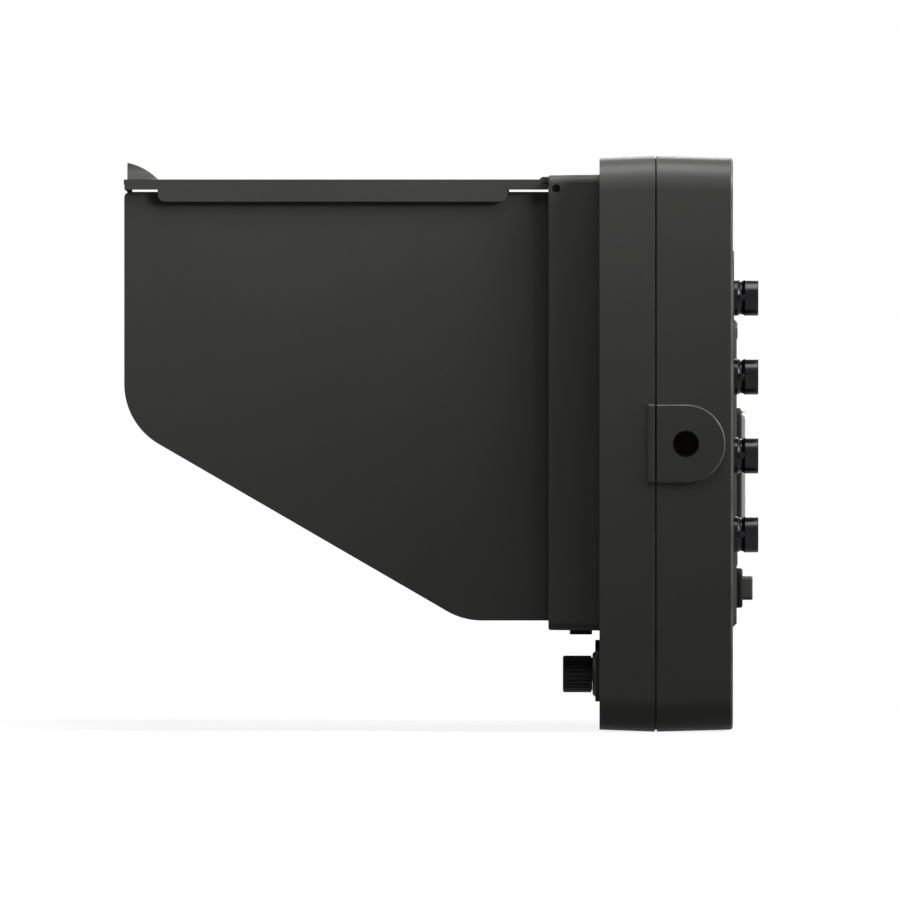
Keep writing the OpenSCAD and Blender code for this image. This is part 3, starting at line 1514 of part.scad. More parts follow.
front_shell();
rear_shell();
seam_gasket();
screen_glass();
display_panel();
backlight();
panel_bracket();
main_board();
processor();
heat_sink();
io_board();
jack_board();
input_board();
key_switches();
push_key(0);  // key_1
push_key(1);  // key_2
push_key(2);  // key_3
push_key(3);  // key_4
push_key(4);  // key_5
status_lens();
control_strip();
control_knob();
knob_collar();
encoder_body();
encoder_shaft();
rear_panel();
rear_panel_screws();
jack_bodies();
jack_insulators();
jack_contacts();
video_sockets();
service_socket();
earphone_socket();
power_inlet();
power_bezel();
power_button();
power_switch();
battery_plate();
battery_lock_plate();
battery_contacts();
battery_release();
speaker();
side_inserts();
tripod_insert();
shell_screws();
board_screws();
hood_frame();
hood_latch();
latch_plate();
top_flap();
flap_pins();
side_panel_right();
side_panel_left();
panel_pins();
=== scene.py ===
import math

import bmesh
import bpy
from mathutils import Matrix, Vector


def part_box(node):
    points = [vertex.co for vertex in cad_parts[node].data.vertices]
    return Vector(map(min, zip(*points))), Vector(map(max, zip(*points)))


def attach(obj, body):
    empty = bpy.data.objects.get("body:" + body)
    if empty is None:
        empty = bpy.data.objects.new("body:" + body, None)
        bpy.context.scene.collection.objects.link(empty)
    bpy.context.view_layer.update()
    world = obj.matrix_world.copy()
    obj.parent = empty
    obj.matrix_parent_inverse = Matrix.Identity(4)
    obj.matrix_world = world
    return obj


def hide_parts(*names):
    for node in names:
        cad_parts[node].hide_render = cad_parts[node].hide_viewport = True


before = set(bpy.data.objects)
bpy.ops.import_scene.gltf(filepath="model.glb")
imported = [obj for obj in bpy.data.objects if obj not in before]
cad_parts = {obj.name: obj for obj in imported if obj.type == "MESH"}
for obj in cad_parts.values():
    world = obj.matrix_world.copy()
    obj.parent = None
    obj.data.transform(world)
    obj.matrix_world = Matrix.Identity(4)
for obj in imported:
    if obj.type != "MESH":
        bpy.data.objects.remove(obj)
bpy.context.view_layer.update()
MM = 0.001

# ---- Places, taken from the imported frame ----
SHELL_LOW, SHELL_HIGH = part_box("front_shell")
GASKET_LOW, GASKET_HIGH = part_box("seam_gasket")
GLASS_LOW, GLASS_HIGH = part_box("screen_glass")
DISPLAY_LOW, DISPLAY_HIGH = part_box("display_panel")
STRIP_LOW, STRIP_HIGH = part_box("control_strip")
LENS_LOW, LENS_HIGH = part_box("status_lens")
KNOB_LOW, KNOB_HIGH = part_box("control_knob")
COLLAR_LOW, COLLAR_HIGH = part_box("knob_collar")
PANEL_LOW, PANEL_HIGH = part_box("rear_panel")
JACK_LOW, JACK_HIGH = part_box("jack_bodies")
CONTACT_LOW, CONTACT_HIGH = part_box("jack_contacts")
VIDEO_LOW, VIDEO_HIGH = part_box("video_sockets")
SERVICE_LOW, SERVICE_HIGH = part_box("service_socket")
EARPHONE_LOW, EARPHONE_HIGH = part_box("earphone_socket")
INLET_LOW, INLET_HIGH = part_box("power_inlet")
BEZEL_LOW, BEZEL_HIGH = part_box("power_bezel")
CAP_LOW, CAP_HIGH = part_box("power_button")
BATTERY_LOW, BATTERY_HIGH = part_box("battery_plate")
LOCK_LOW, LOCK_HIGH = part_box("battery_lock_plate")
BLADE_LOW, BLADE_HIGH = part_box("battery_contacts")
RELEASE_LOW, RELEASE_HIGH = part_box("battery_release")
INSERT_LOW, INSERT_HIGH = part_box("side_inserts")
TRIPOD_LOW, TRIPOD_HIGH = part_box("tripod_insert")
FRAME_LOW, FRAME_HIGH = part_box("hood_frame")
LATCH_LOW, LATCH_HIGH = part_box("hood_latch")
FLAP_LOW, FLAP_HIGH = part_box("top_flap")
PIN_LOW, PIN_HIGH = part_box("flap_pins")
RIGHT_LOW, RIGHT_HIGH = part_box("side_panel_right")
SCREW_LOW, SCREW_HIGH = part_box("shell_screws")
PLATE_SCREW_LOW, PLATE_SCREW_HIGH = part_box("rear_panel_screws")
SPEAKER_LOW, SPEAKER_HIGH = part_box("speaker")

# How deep the seam groove goes over the gasket, and how far it bites into each half of the case.
GROOVE, GROOVE_BITE = 0.5 * MM, 0.15 * MM
BODY_X = GASKET_HIGH.x + GROOVE
BODY_TOP = GASKET_HIGH.z + GROOVE
BODY_MIDDLE = BODY_TOP / 2
FACE_Y = SHELL_LOW.y
SEAM_FRONT = GASKET_LOW.y
SEAM_BACK = GASKET_HIGH.y
BACK_Y = PANEL_LOW.y
PANEL_FACE = PANEL_HIGH.y
CORNER_R = 8.8 * MM
REAR_RIM = 0.85 * MM
CORNER_STEPS = 12
DRAFT = 0.53 * MM
WALL = 2.2 * MM
FACE_WALL = 2.4 * MM
GAP = 0.15 * MM
PAD_R = 10.5 * MM
PAD_RAMP = 0.6 * MM
PAD_FACE_X = SHELL_HIGH.x
PAD_Y = (TRIPOD_LOW.y + TRIPOD_HIGH.y) / 2
PAD_Z = (INSERT_LOW.z + INSERT_HIGH.z) / 2
PAD_CENTRE = (PAD_Y, PAD_Z)
PAD_FRONT = SEAM_FRONT - 2.6 * MM
THREAD_MOUTH_R = 3.55 * MM
THREAD_R, THREAD_ROOT_R, THREAD_STEP = 3.175 * MM, 2.75 * MM, 1.27 * MM
INSERT_R, INSERT_DEEP = 5 * MM, 8 * MM
NEST_R, BOSS_R = 5.01 * MM, 6.6 * MM
JACK_X = (JACK_LOW.x + JACK_HIGH.x) / 2
JACK_FLANGE_R = (JACK_HIGH.x - JACK_LOW.x) / 2
JACK_R = 4.8 * MM
JACK_COUNT = 4
JACK_FIRST = JACK_LOW.z + JACK_FLANGE_R
JACK_STEP = (JACK_HIGH.z - JACK_LOW.z - 2 * JACK_FLANGE_R) / (JACK_COUNT - 1)
JACK_HEIGHTS = [JACK_FIRST + i * JACK_STEP for i in range(JACK_COUNT)]
JACK_CENTRE = (JACK_X, JACK_FIRST)
JACK_PAD_HALF_W = 9.5 * MM
PIN_Y = (PIN_LOW.y + PIN_HIGH.y) / 2
PIN_Z = (PIN_LOW.z + PIN_HIGH.z) / 2
PIN_CENTRE = (PIN_Y, PIN_Z)
SHEET_UNDER = PIN_Z + 1.1 * MM
SHEET_TOP = PIN_Z + 2.4 * MM
SHEET_FRONT = FLAP_LOW.y + 0.79 * MM
SHEET_REAR = FRAME_LOW.y - 0.27 * MM
RIGHT_HINGE, LEFT_HINGE = -5.6, -3.1
HINGE_PLACES = ((1, RIGHT_HINGE), (-1, LEFT_HINGE))
RIDGE_STEP = 1.4 * MM
EPS = 1e-6
# Edges that turn by more degrees than this get rounded.
SHARP = 32
# Faces larger than this get flat shading where a piece asks for it.
WIDE_FACE = 1000 * MM * MM


def deep(depth):
    """A place so many millimetres behind the screen face, or before it if the number is negative."""
    return FACE_Y + depth * MM


# ---- Modelling steps ----
def only(obj):
    """Selects one object and nothing else."""
    bpy.ops.object.select_all(action="DESELECT")
    obj.select_set(True)
    bpy.context.view_layer.objects.active = obj


def settle(name):
    """Names the new primitive and puts its place into its mesh."""
    obj = bpy.context.object
    obj.name = name
    obj.data.name = name
    bpy.ops.object.transform_apply(location=True, rotation=True, scale=True)
    return obj


def block(name, low, high):
    """A block between two corners."""
    low, high = Vector(low), Vector(high)
    bpy.ops.object.select_all(action="DESELECT")
    bpy.ops.mesh.primitive_cube_add(size=1, location=(low + high) / 2, scale=high - low)
    return settle(name)


def rod(name, axis, centre, radius, start, end, sides=48):
    """A round rod along an axis, from start to end; centre gives its two other places."""
    place = {"X": (0, 1, 2), "Y": (1, 0, 2), "Z": (2, 0, 1)}[axis]
    turned = {"X": (0, math.pi / 2, 0), "Y": (math.pi / 2, 0, 0), "Z": (0, 0, 0)}[axis]
    at = [0.0, 0.0, 0.0]
    at[place[0]] = (start + end) / 2
    at[place[1]], at[place[2]] = centre
    bpy.ops.object.select_all(action="DESELECT")
    bpy.ops.mesh.primitive_cylinder_add(
        vertices=sides, radius=radius, depth=abs(end - start), location=at, rotation=turned)
    return settle(name)


class Editing:
    """Edit mode on one object, with nothing selected to begin with."""

    def __init__(self, obj, kind="EDGE"):
        self.obj, self.kind = obj, kind

    def __enter__(self):
        only(self.obj)
        bpy.ops.object.mode_set(mode="EDIT")
        bpy.ops.mesh.select_mode(type=self.kind)
        bpy.ops.mesh.select_all(action="DESELECT")
        return bmesh.from_edit_mesh(self.obj.data)

    def __exit__(self, *problem):
        bpy.ops.object.mode_set(mode="OBJECT")


class Drawing(Editing):
    """Edit mode on a new object: one point drawn out along a line of points, with all of it selected."""

    def __init__(self, name, points):
        bpy.ops.object.select_all(action="DESELECT")
        bpy.ops.mesh.primitive_plane_add(size=MM, location=points[0])
        super().__init__(settle(name), "VERT")
        self.points = points

    def __enter__(self):
        super().__enter__()
        bpy.ops.mesh.select_all(action="SELECT")
        bpy.ops.mesh.merge(type="CENTER")
        for a, b in zip(self.points, self.points[1:]):
            bpy.ops.mesh.extrude_region_move(TRANSFORM_OT_translate={"value": b - a})
        bpy.ops.mesh.select_all(action="SELECT")
        return self.obj


def pick(obj, parts, test):
    """Selects the vertices, edges or faces that the test keeps."""
    for part in parts:
        if test(part):
            part.select_set(True)
    bmesh.update_edit_mesh(obj.data)


def middle(edge):
    return (edge.verts[0].co + edge.verts[1].co) / 2


def runs_along(edge, axis):
    step = edge.verts[1].co - edge.verts[0].co
    return abs(step["XYZ".index(axis)]) > 0.999 * step.length


def round_along(obj, axis, radius, segments, where=lambda at: True):
    """Rounds the edges that run along an axis."""
    with Editing(obj) as mesh:
        pick(obj, mesh.edges, lambda e: runs_along(e, axis) and where(middle(e)))
        bpy.ops.mesh.bevel(offset=radius, segments=segments, profile=0.5, affect="EDGES")


def round_rim(obj, axis, at, width, segments):
    """Rounds the rim of the face that lies across an axis at a place."""
    k = "XYZ".index(axis)
    with Editing(obj) as mesh:
        pick(obj, mesh.edges, lambda e: all(abs(v.co[k] - at) < EPS for v in e.verts)
             and any(abs(f.normal[k]) < 0.9 for f in e.link_faces))
        bpy.ops.mesh.bevel(offset=width, segments=segments, profile=0.5, affect="EDGES")


def draw_in(obj, axis, at, factors, centre):
    """Makes one end of a piece smaller or larger about a centre."""
    k = "XYZ".index(axis)
    with Editing(obj, "VERT") as mesh:
        pick(obj, mesh.verts, lambda v: abs(v.co[k] - at) < EPS)
        bpy.ops.transform.resize(value=factors, center_override=centre)


def shift(obj, where, by):
    """Moves some vertices of a piece."""
    with Editing(obj, "VERT") as mesh:
        pick(obj, mesh.verts, lambda v: where(v.co))
        bpy.ops.transform.translate(value=by)


def slice_off(obj, point, normal):
    """Cuts a piece with a plane, drops what lies on the normal's side and closes the cut."""
    with Editing(obj):
        bpy.ops.mesh.select_all(action="SELECT")
        bpy.ops.mesh.bisect(plane_co=point, plane_no=normal, use_fill=True, clear_outer=True)


def dish(obj, normal, inset, depth):
    """Insets the face that looks along a normal and sinks it."""
    normal = Vector(normal)
    with Editing(obj, "FACE") as mesh:
        largest = max((f for f in mesh.faces if f.normal.dot(normal) > 0.999), key=lambda f: f.calc_area())
        pick(obj, [largest], lambda f: True)
        bpy.ops.mesh.inset(thickness=inset, depth=-depth)


def copy_of(obj, name, by=(0, 0, 0)):
    """A second piece like the first, with its own mesh, moved by a step."""
    only(obj)
    bpy.ops.object.duplicate(linked=False)
    bpy.context.object.location = by
    return settle(name)


def row_of(obj, name, step, count):
    """A piece and its copies, each one step further."""
    return [obj] + [copy_of(obj, name, [i * length for length in step]) for i in range(1, count)]


def mirrored(obj, name):
    """The same piece on the other side of the middle."""
    made = copy_of(obj, name)
    with Editing(made):
        bpy.ops.mesh.select_all(action="SELECT")
        bpy.ops.transform.resize(value=(-1, 1, 1), center_override=(0, 0, 0))
        bpy.ops.mesh.normals_make_consistent(inside=False)
    return made


def together(name, parts):
    """Joins separate forms into one object."""
    bpy.ops.object.select_all(action="DESELECT")
    for part in parts:
        part.select_set(True)
    bpy.context.view_layer.objects.active = parts[0]
    bpy.ops.object.join()
    parts[0].name = name
    return parts[0]


def combine(obj, tools, how):
    """Adds or cuts other forms, which are used up."""
    for tool in tools:
        change = obj.modifiers.new(how.lower(), "BOOLEAN")
        change.operation = how
        change.solver = "EXACT"
        change.object = tool
        only(obj)
        bpy.ops.object.modifier_apply(modifier=change.name)
        bpy.data.objects.remove(tool, do_unlink=True)
    return obj


def add(obj, *tools):
    return combine(obj, tools, "UNION")


def cut(obj, *tools):
    return combine(obj, tools, "DIFFERENCE")


def cut_row(obj, tools):
    """Cuts many forms that don't touch each other in one go."""
    return combine(obj, [together("row", tools)], "DIFFERENCE")


def turn(name, axis, centre, profile, steps):
    """A turned form: one point drawn out along a profile of radius and place, then spun."""
    k = "XYZ".index(axis)
    across = 2 if axis != "Z" else 0
    base = [0.0, 0.0, 0.0]
    rest = [i for i in range(3) if i != k]
    base[rest[0]], base[rest[1]] = centre
    spin_axis = [0.0, 0.0, 0.0]
    spin_axis[k] = 1.0

    def at(radius, place):
        point = Vector(base)
        point[k] = place
        point[across] += radius
        return point

    with Drawing(name, [at(*p) for p in profile]) as obj:
        bpy.ops.mesh.spin(steps=steps, angle=2 * math.pi, center=base, axis=spin_axis)
        bpy.ops.mesh.select_all(action="SELECT")
        bpy.ops.mesh.remove_doubles(threshold=EPS)
        bpy.ops.mesh.normals_make_consistent(inside=False)
    return obj


def soften(obj, width, segments=2, smooth=50, wide_flat=False):
    """Rounds every sharp edge, marks the rounded faces for edge wear and a painted edge sheen, and smooths the shading.
    """
    obj.data.materials.clear()
    obj.data.materials.append(None)
    obj.data.materials.append(None)
    if width:
        edges = obj.modifiers.new("soft edges", "BEVEL")
        edges.width = width
        edges.segments = segments
        edges.limit_method = "ANGLE"
        edges.angle_limit = math.radians(SHARP)
        edges.use_clamp_overlap = True
        edges.material = 1
        only(obj)
        bpy.ops.object.modifier_apply(modifier=edges.name)
    wear_sheen_mark = obj.data.attributes.new("wear_sheen_mark", "FLOAT", "FACE")
    wear_sheen_mark.data.foreach_set("value", [float(f.material_index) for f in obj.data.polygons])
    for face in obj.data.polygons:
        face.material_index = 0
    obj.data.materials.clear()
    only(obj)
    bpy.ops.object.shade_smooth_by_angle(angle=math.radians(smooth))
    for face in obj.data.polygons:
        if wide_flat and face.area > WIDE_FACE:
            face.use_smooth = False
    shading = obj.modifiers.new("flat faces stay flat", "WEIGHTED_NORMAL")
    shading.keep_sharp = True
    bpy.ops.object.modifier_apply(modifier=shading.name)
    return obj


def rub_and_highlight(obj, where):
    """Marks more faces for edge wear and a painted highlight, by their middle."""
    marks = obj.data.attributes["wear_sheen_mark"].data
    for face in obj.data.polygons:
        if where(face.center, face.normal):
            marks[face.index].value = 1.0


# ---- Shared effects, as node groups that give masks, values and heights ----
def group(name, inputs, outputs):
    tree = bpy.data.node_groups.new(name, "ShaderNodeTree")
    for label, value in inputs:
        socket = tree.interface.new_socket(label, in_out="INPUT", socket_type="NodeSocketFloat")
        socket.default_value = value
    for label in outputs:
        tree.interface.new_socket(label, in_out="OUTPUT", socket_type="NodeSocketFloat")
    return tree, tree.nodes.new("NodeGroupInput"), tree.nodes.new("NodeGroupOutput")


def place(tree):
    return tree.nodes.new("ShaderNodeTexCoord").outputs["Object"]


def feed(tree, socket, value):
    """Gives a socket another node's result, or a plain value."""
    if hasattr(value, "is_output"):
        tree.links.new(value, socket)
    else:
        socket.default_value = value


def noise(tree, where, scale, detail, roughness):
    node = tree.nodes.new("ShaderNodeTexNoise")
    for label, value in (("Vector", where), ("Scale", scale), ("Detail", detail), ("Roughness", roughness)):
        feed(tree, node.inputs[label], value)
    return node.outputs["Fac"]


def sum_of(tree, kind, a, b, clamp=False):
    node = tree.nodes.new("ShaderNodeMath")
    node.operation = kind
    node.use_clamp = clamp
    feed(tree, node.inputs[0], a)
    feed(tree, node.inputs[1], b)
    return node.outputs[0]


def spread(tree, value, low, high, to_low=0.0, to_high=1.0):
    node = tree.nodes.new("ShaderNodeMapRange")
    node.clamp = True
    for label, given in (("Value", value), ("From Min", low), ("From Max", high),
                         ("To Min", to_low), ("To Max", to_high)):
        feed(tree, node.inputs[label], given)
    return node.outputs["Result"]


def make_moulding_grain():
    """The fine pebbled grain of a mould, with a broad, faint change of tone."""
    tree, given, made = group("moulding_grain", [("Fine", 3200.0), ("Broad", 28.0)], ["Height", "Tone"])
    where = place(tree)
    pebbles = tree.nodes.new("ShaderNodeTexVoronoi")
    pebbles.feature = "SMOOTH_F1"
    pebbles.inputs["Smoothness"].default_value = 0.6
    tree.links.new(where, pebbles.inputs["Vector"])
    tree.links.new(given.outputs["Fine"], pebbles.inputs["Scale"])
    fine = noise(tree, where, sum_of(tree, "MULTIPLY", given.outputs["Fine"], 0.45), 4.0, 0.6)
    height = sum_of(tree, "MULTIPLY", pebbles.outputs["Distance"], 0.6)
    tree.links.new(sum_of(tree, "ADD", height, fine), made.inputs["Height"])
    broad = noise(tree, where, given.outputs["Broad"], 3.0, 0.55)
    speck = noise(tree, where, sum_of(tree, "MULTIPLY", given.outputs["Fine"], 0.2), 2.0, 0.5)
    tone = sum_of(tree, "ADD", sum_of(tree, "MULTIPLY", broad, 0.7), sum_of(tree, "MULTIPLY", speck, 0.3))
    tree.links.new(spread(tree, tone, 0.34, 0.66), made.inputs["Tone"])
    return tree


def make_edge_wear_and_sheen():
    """Where hands and bags have polished the rounded edges; the lighter edge tone is also a painted sheen, light that
    the rounded edges would catch.
    """
    tree, given, made = group("edge_wear_and_sheen", [("Amount", 1.0), ("Patches", 120.0)], ["Mask"])
    mark = tree.nodes.new("ShaderNodeAttribute")
    mark.attribute_name = "wear_sheen_mark"
    patches = spread(tree, noise(tree, place(tree), given.outputs["Patches"], 4.0, 0.6), 0.35, 0.7, 0.25, 1.0)
    wear_and_sheen = sum_of(tree, "MULTIPLY", mark.outputs["Fac"], patches)
    tree.links.new(sum_of(tree, "MULTIPLY", wear_and_sheen, given.outputs["Amount"], True), made.inputs["Mask"])
    return tree


def make_fine_dust():
    """A few specks and a thin film of dust."""
    tree, given, made = group("fine_dust", [("Amount", 0.3), ("Specks", 900.0)], ["Mask"])
    where = place(tree)
    specks = spread(tree, noise(tree, where, given.outputs["Specks"], 1.0, 0.5), 0.73, 0.8)
    film = spread(tree, noise(tree, where, 22.0, 5.0, 0.62), 0.5, 0.8, 0.0, 0.35)
    both = sum_of(tree, "ADD", specks, film, True)
    tree.links.new(sum_of(tree, "MULTIPLY", both, given.outputs["Amount"], True), made.inputs["Mask"])
    return tree


def make_brushing():
    """Fine parallel lines left by a brush or a rolling mill, along X."""
    tree, given, made = group("brushing", [("Across", 5000.0), ("Along", 60.0)], ["Height", "Tone"])
    stretch = tree.nodes.new("ShaderNodeCombineXYZ")
    tree.links.new(given.outputs["Along"], stretch.inputs["X"])
    tree.links.new(given.outputs["Across"], stretch.inputs["Y"])
    tree.links.new(given.outputs["Across"], stretch.inputs["Z"])
    scaled = tree.nodes.new("ShaderNodeVectorMath")
    scaled.operation = "MULTIPLY"
    tree.links.new(place(tree), scaled.inputs[0])
    tree.links.new(stretch.outputs["Vector"], scaled.inputs[1])
    lines = noise(tree, scaled.outputs["Vector"], 1.0, 3.0, 0.7)
    tree.links.new(lines, made.inputs["Height"])
    tree.links.new(spread(tree, lines, 0.3, 0.7), made.inputs["Tone"])
    return tree


GRAIN = make_moulding_grain()
EDGE_WEAR_AND_SHEEN = make_edge_wear_and_sheen()
DUST = make_fine_dust()
BRUSHING = make_brushing()


# ---- Finishes ----
def tint(red, green, blue):
    """A colour given as it shows on a screen, as the renderer's light values."""
    def light(value):
        value /= 255
        return value / 12.92 if value <= 0.04045 else ((value + 0.055) / 1.055) ** 2.4
    return (light(red), light(green), light(blue), 1.0)


def put(tree, shared, **values):
    """Places a shared effect in a material with its own values."""
    node = tree.nodes.new("ShaderNodeGroup")
    node.node_tree = shared
    for label, value in values.items():
        node.inputs[label].default_value = value
    return node


def blend_colours(tree, share, first, second):
    node = tree.nodes.new("ShaderNodeMix")
    node.data_type = "RGBA"
    tree.links.new(share, node.inputs["Factor"])
    feed(tree, node.inputs[6], first)
    feed(tree, node.inputs[7], second)
    return node.outputs[2]


def raise_surface(tree, shader, height, strength, distance):
    bump = tree.nodes.new("ShaderNodeBump")
    bump.inputs["Strength"].default_value = strength
    bump.inputs["Distance"].default_value = distance
    tree.links.new(height, bump.inputs["Height"])
    tree.links.new(bump.outputs["Normal"], shader.inputs["Normal"])


FINISHES = {}
DUST_TONE = (120, 119, 114)
# What edge wear and its painted sheen add to a tone and take from roughness, and what dust adds to roughness.
WEAR_AND_SHEEN_LIFT = 26
POLISH = 0.3
DUSTY_ROUGH = 0.5
GRAIN_DEEP, LINES_DEEP, TRACKS_DEEP = 0.06 * MM, 0.03 * MM, 0.05 * MM


def new_finish(name, rough, specular, metallic=0.0):
    """A new material, listed under its name."""
    made = FINISHES[name] = bpy.data.materials.new(name)
    made.use_nodes = True
    shader = made.node_tree.nodes["Principled BSDF"]
    shader.inputs["Roughness"].default_value = rough
    shader.inputs["Specular IOR Level"].default_value = specular
    shader.inputs["Metallic"].default_value = metallic
    return made.node_tree, shader


def plastic(name, dark, light, rough, specular, fine=3200.0, broad=28.0, grain=0.25,
            wear_and_sheen=0.25, wear_sheen_tone=None, dust=0.05):
    """Moulded plastic, rubber or a coating: grained, with edge wear and a painted edge sheen, a little dusty, and matt
    when seen aslant.
    """
    tree, shader = new_finish(name, rough, specular)
    pebbles = put(tree, GRAIN, Fine=fine, Broad=broad)
    edges = put(tree, EDGE_WEAR_AND_SHEEN, Amount=wear_and_sheen)
    film = put(tree, DUST, Amount=dust)
    colour = blend_colours(tree, pebbles.outputs["Tone"], tint(*dark), tint(*light))
    wear_sheen_tone = wear_sheen_tone or [tone + WEAR_AND_SHEEN_LIFT for tone in light]
    colour = blend_colours(tree, edges.outputs["Mask"], colour, tint(*wear_sheen_tone))
    colour = blend_colours(tree, film.outputs["Mask"], colour, tint(*DUST_TONE))
    tree.links.new(colour, shader.inputs["Base Color"])
    duller = spread(tree, pebbles.outputs["Tone"], 0.0, 1.0, rough + 0.05, rough - 0.04)
    polished = sum_of(tree, "SUBTRACT", duller, sum_of(tree, "MULTIPLY", edges.outputs["Mask"], POLISH))
    dusty = sum_of(tree, "ADD", polished, sum_of(tree, "MULTIPLY", film.outputs["Mask"], DUSTY_ROUGH), True)
    tree.links.new(dusty, shader.inputs["Roughness"])
    raise_surface(tree, shader, pebbles.outputs["Height"], grain, GRAIN_DEEP)
    tilt = tree.nodes.new("ShaderNodeLayerWeight")
    tree.links.new(spread(tree, tilt.outputs["Facing"], 0.3, 0.9, specular, 0.0), shader.inputs["Specular IOR Level"])


def metal(name, dark, light, rough, across=5000.0, along=60.0, lines=0.15, wear_and_sheen=0.3,
          wear_sheen_tone=(225, 222, 215), edge=1.0):
    """Plated, turned or brushed metal: fine lines, edge wear with a painted edge sheen and a little dust; edge darkens
    its glancing gloss.
    """
    tree, shader = new_finish(name, rough, 0.5, 1.0)
    shader.inputs["Specular Tint"].default_value = (edge, edge, edge, 1.0)
    brushed = put(tree, BRUSHING, Across=across, Along=along)
    edges = put(tree, EDGE_WEAR_AND_SHEEN, Amount=wear_and_sheen, Patches=260.0)
    film = put(tree, DUST, Amount=0.05)
    colour = blend_colours(tree, brushed.outputs["Tone"], tint(*dark), tint(*light))
    colour = blend_colours(tree, edges.outputs["Mask"], colour, tint(*wear_sheen_tone))
    tree.links.new(colour, shader.inputs["Base Color"])
    varied = spread(tree, brushed.outputs["Tone"], 0.0, 1.0, rough + 0.06, max(rough - 0.05, 0.02))
    dusty = sum_of(tree, "ADD", varied, sum_of(tree, "MULTIPLY", film.outputs["Mask"], DUSTY_ROUGH), True)
    tree.links.new(dusty, shader.inputs["Roughness"])
    tree.links.new(spread(tree, film.outputs["Mask"], 0.0, 1.0, 1.0, 0.6), shader.inputs["Metallic"])
    raise_surface(tree, shader, brushed.outputs["Height"], lines, LINES_DEEP)


def glass_finish():
    """Coated cover glass with the faintest smears."""
    tree, shader = new_finish("cover_glass", 0.02, 0.35)
    shader.inputs["Transmission Weight"].default_value = 1.0
    shader.inputs["IOR"].default_value = 1.5
    shader.inputs["Base Color"].default_value = (0.93, 0.95, 0.96, 1.0)
    smears = spread(tree, noise(tree, place(tree), 35.0, 5.0, 0.65), 0.45, 0.75, 0.015, 0.07)
    tree.links.new(smears, shader.inputs["Roughness"])


def printed_border():
    """Black ink printed on the back of the glass."""
    tree, shader = new_finish("printed_border", 0.35, 0.3)
    fine = noise(tree, place(tree), 2400.0, 2.0, 0.5)
    tree.links.new(blend_colours(tree, fine, tint(6, 6, 7), tint(11, 11, 12)), shader.inputs["Base Color"])


def display_finish():
    """The switched-off picture area: a dark blue-black field inside a blacker printed border."""
    tree, shader = new_finish("display_layers", 0.25, 0.3)
    split = tree.nodes.new("ShaderNodeSeparateXYZ")
    tree.links.new(place(tree), split.inputs["Vector"])
    centre_z = (GLASS_LOW.z + GLASS_HIGH.z) / 2
    from_x = sum_of(tree, "ABSOLUTE", split.outputs["X"], 0.0)
    from_z = sum_of(tree, "ABSOLUTE", sum_of(tree, "SUBTRACT", split.outputs["Z"], centre_z), 0.0)
    inside_x = sum_of(tree, "LESS_THAN", from_x, GLASS_HIGH.x - 2.6 * MM)
    inside_z = sum_of(tree, "LESS_THAN", from_z, (GLASS_HIGH.z - GLASS_LOW.z) / 2 - 2.6 * MM)
    picture = sum_of(tree, "MULTIPLY", inside_x, inside_z)
    cells = noise(tree, place(tree), 60.0, 3.0, 0.5)
    field = blend_colours(tree, cells, tint(22, 24, 29), tint(28, 30, 36))
    tree.links.new(blend_colours(tree, picture, tint(7, 7, 8), field), shader.inputs["Base Color"])
    tree.links.new(spread(tree, cells, 0.3, 0.7, 0.22, 0.3), shader.inputs["Roughness"])


def board_finish():
    """Green solder mask with the ghost of copper tracks under it."""
    tree, shader = new_finish("board_green", 0.35, 0.4)
    where = place(tree)
    tracks = tree.nodes.new("ShaderNodeTexBrick")
    for label, value in (("Scale", 260.0), ("Mortar Size", 0.03), ("Brick Width", 1.4), ("Row Height", 0.35)):
        tracks.inputs[label].default_value = value
    turned = tree.nodes.new("ShaderNodeMapping")
    turned.inputs["Rotation"].default_value = (math.radians(90), 0, 0)
    tree.links.new(where, turned.inputs["Vector"])
    tree.links.new(turned.outputs["Vector"], tracks.inputs["Vector"])
    mottle = noise(tree, where, 70.0, 4.0, 0.6)
    mask = blend_colours(tree, mottle, tint(22, 74, 44), tint(34, 98, 60))
    tree.links.new(blend_colours(tree, tracks.outputs["Fac"], mask, tint(62, 128, 78)), shader.inputs["Base Color"])
    tree.links.new(spread(tree, mottle, 0.3, 0.7, 0.3, 0.42), shader.inputs["Roughness"])
    raise_surface(tree, shader, tracks.outputs["Fac"], 0.2, TRACKS_DEEP)


def lens_finish():
    """Frosted clear plastic over an unlit lamp."""
    tree, shader = new_finish("lens_plastic", 0.22, 0.5)
    shader.inputs["Transmission Weight"].default_value = 0.35
    cloud = noise(tree, place(tree), 420.0, 3.0, 0.5)
    tree.links.new(blend_colours(tree, cloud, tint(168, 178, 172), tint(196, 204, 199)), shader.inputs["Base Color"])
    tree.links.new(spread(tree, cloud, 0.3, 0.7, 0.18, 0.3), shader.inputs["Roughness"])


# The edge wear tone of the case halves is also a painted highlight: it lights the pad rims and, strongest, the rounded
# rear rim.
plastic("shell_plastic", (55, 55, 53), (59, 59, 56), 0.35, 0.09, wear_and_sheen=0.5)
plastic("rear_shell_finish", (52, 53, 50), (56, 56, 53), 0.33, 0.1, broad=24.0, wear_and_sheen=1.0, wear_sheen_tone=(92, 92, 89))
plastic("gasket_rubber", (14, 14, 14), (20, 20, 20), 0.75, 0.15, wear_and_sheen=0.0)
glass_finish()
printed_border()
display_finish()
plastic("diffuser_plastic", (214, 214, 208), (226, 226, 221), 0.5, 0.4, dust=0.02)
metal("bracket_metal", (176, 178, 180), (198, 200, 202), 0.38)
board_finish()
plastic("component_black", (26, 26, 26), (33, 33, 32), 0.5, 0.35, fine=5200.0, dust=0.1)
plastic("key_rubber", (66, 65, 62), (74, 73, 70), 0.62, 0.2, fine=4600.0, wear_and_sheen=0.35)
lens_finish()
plastic("strip_plastic", (20, 20, 19), (25, 25, 24), 0.5, 0.15)
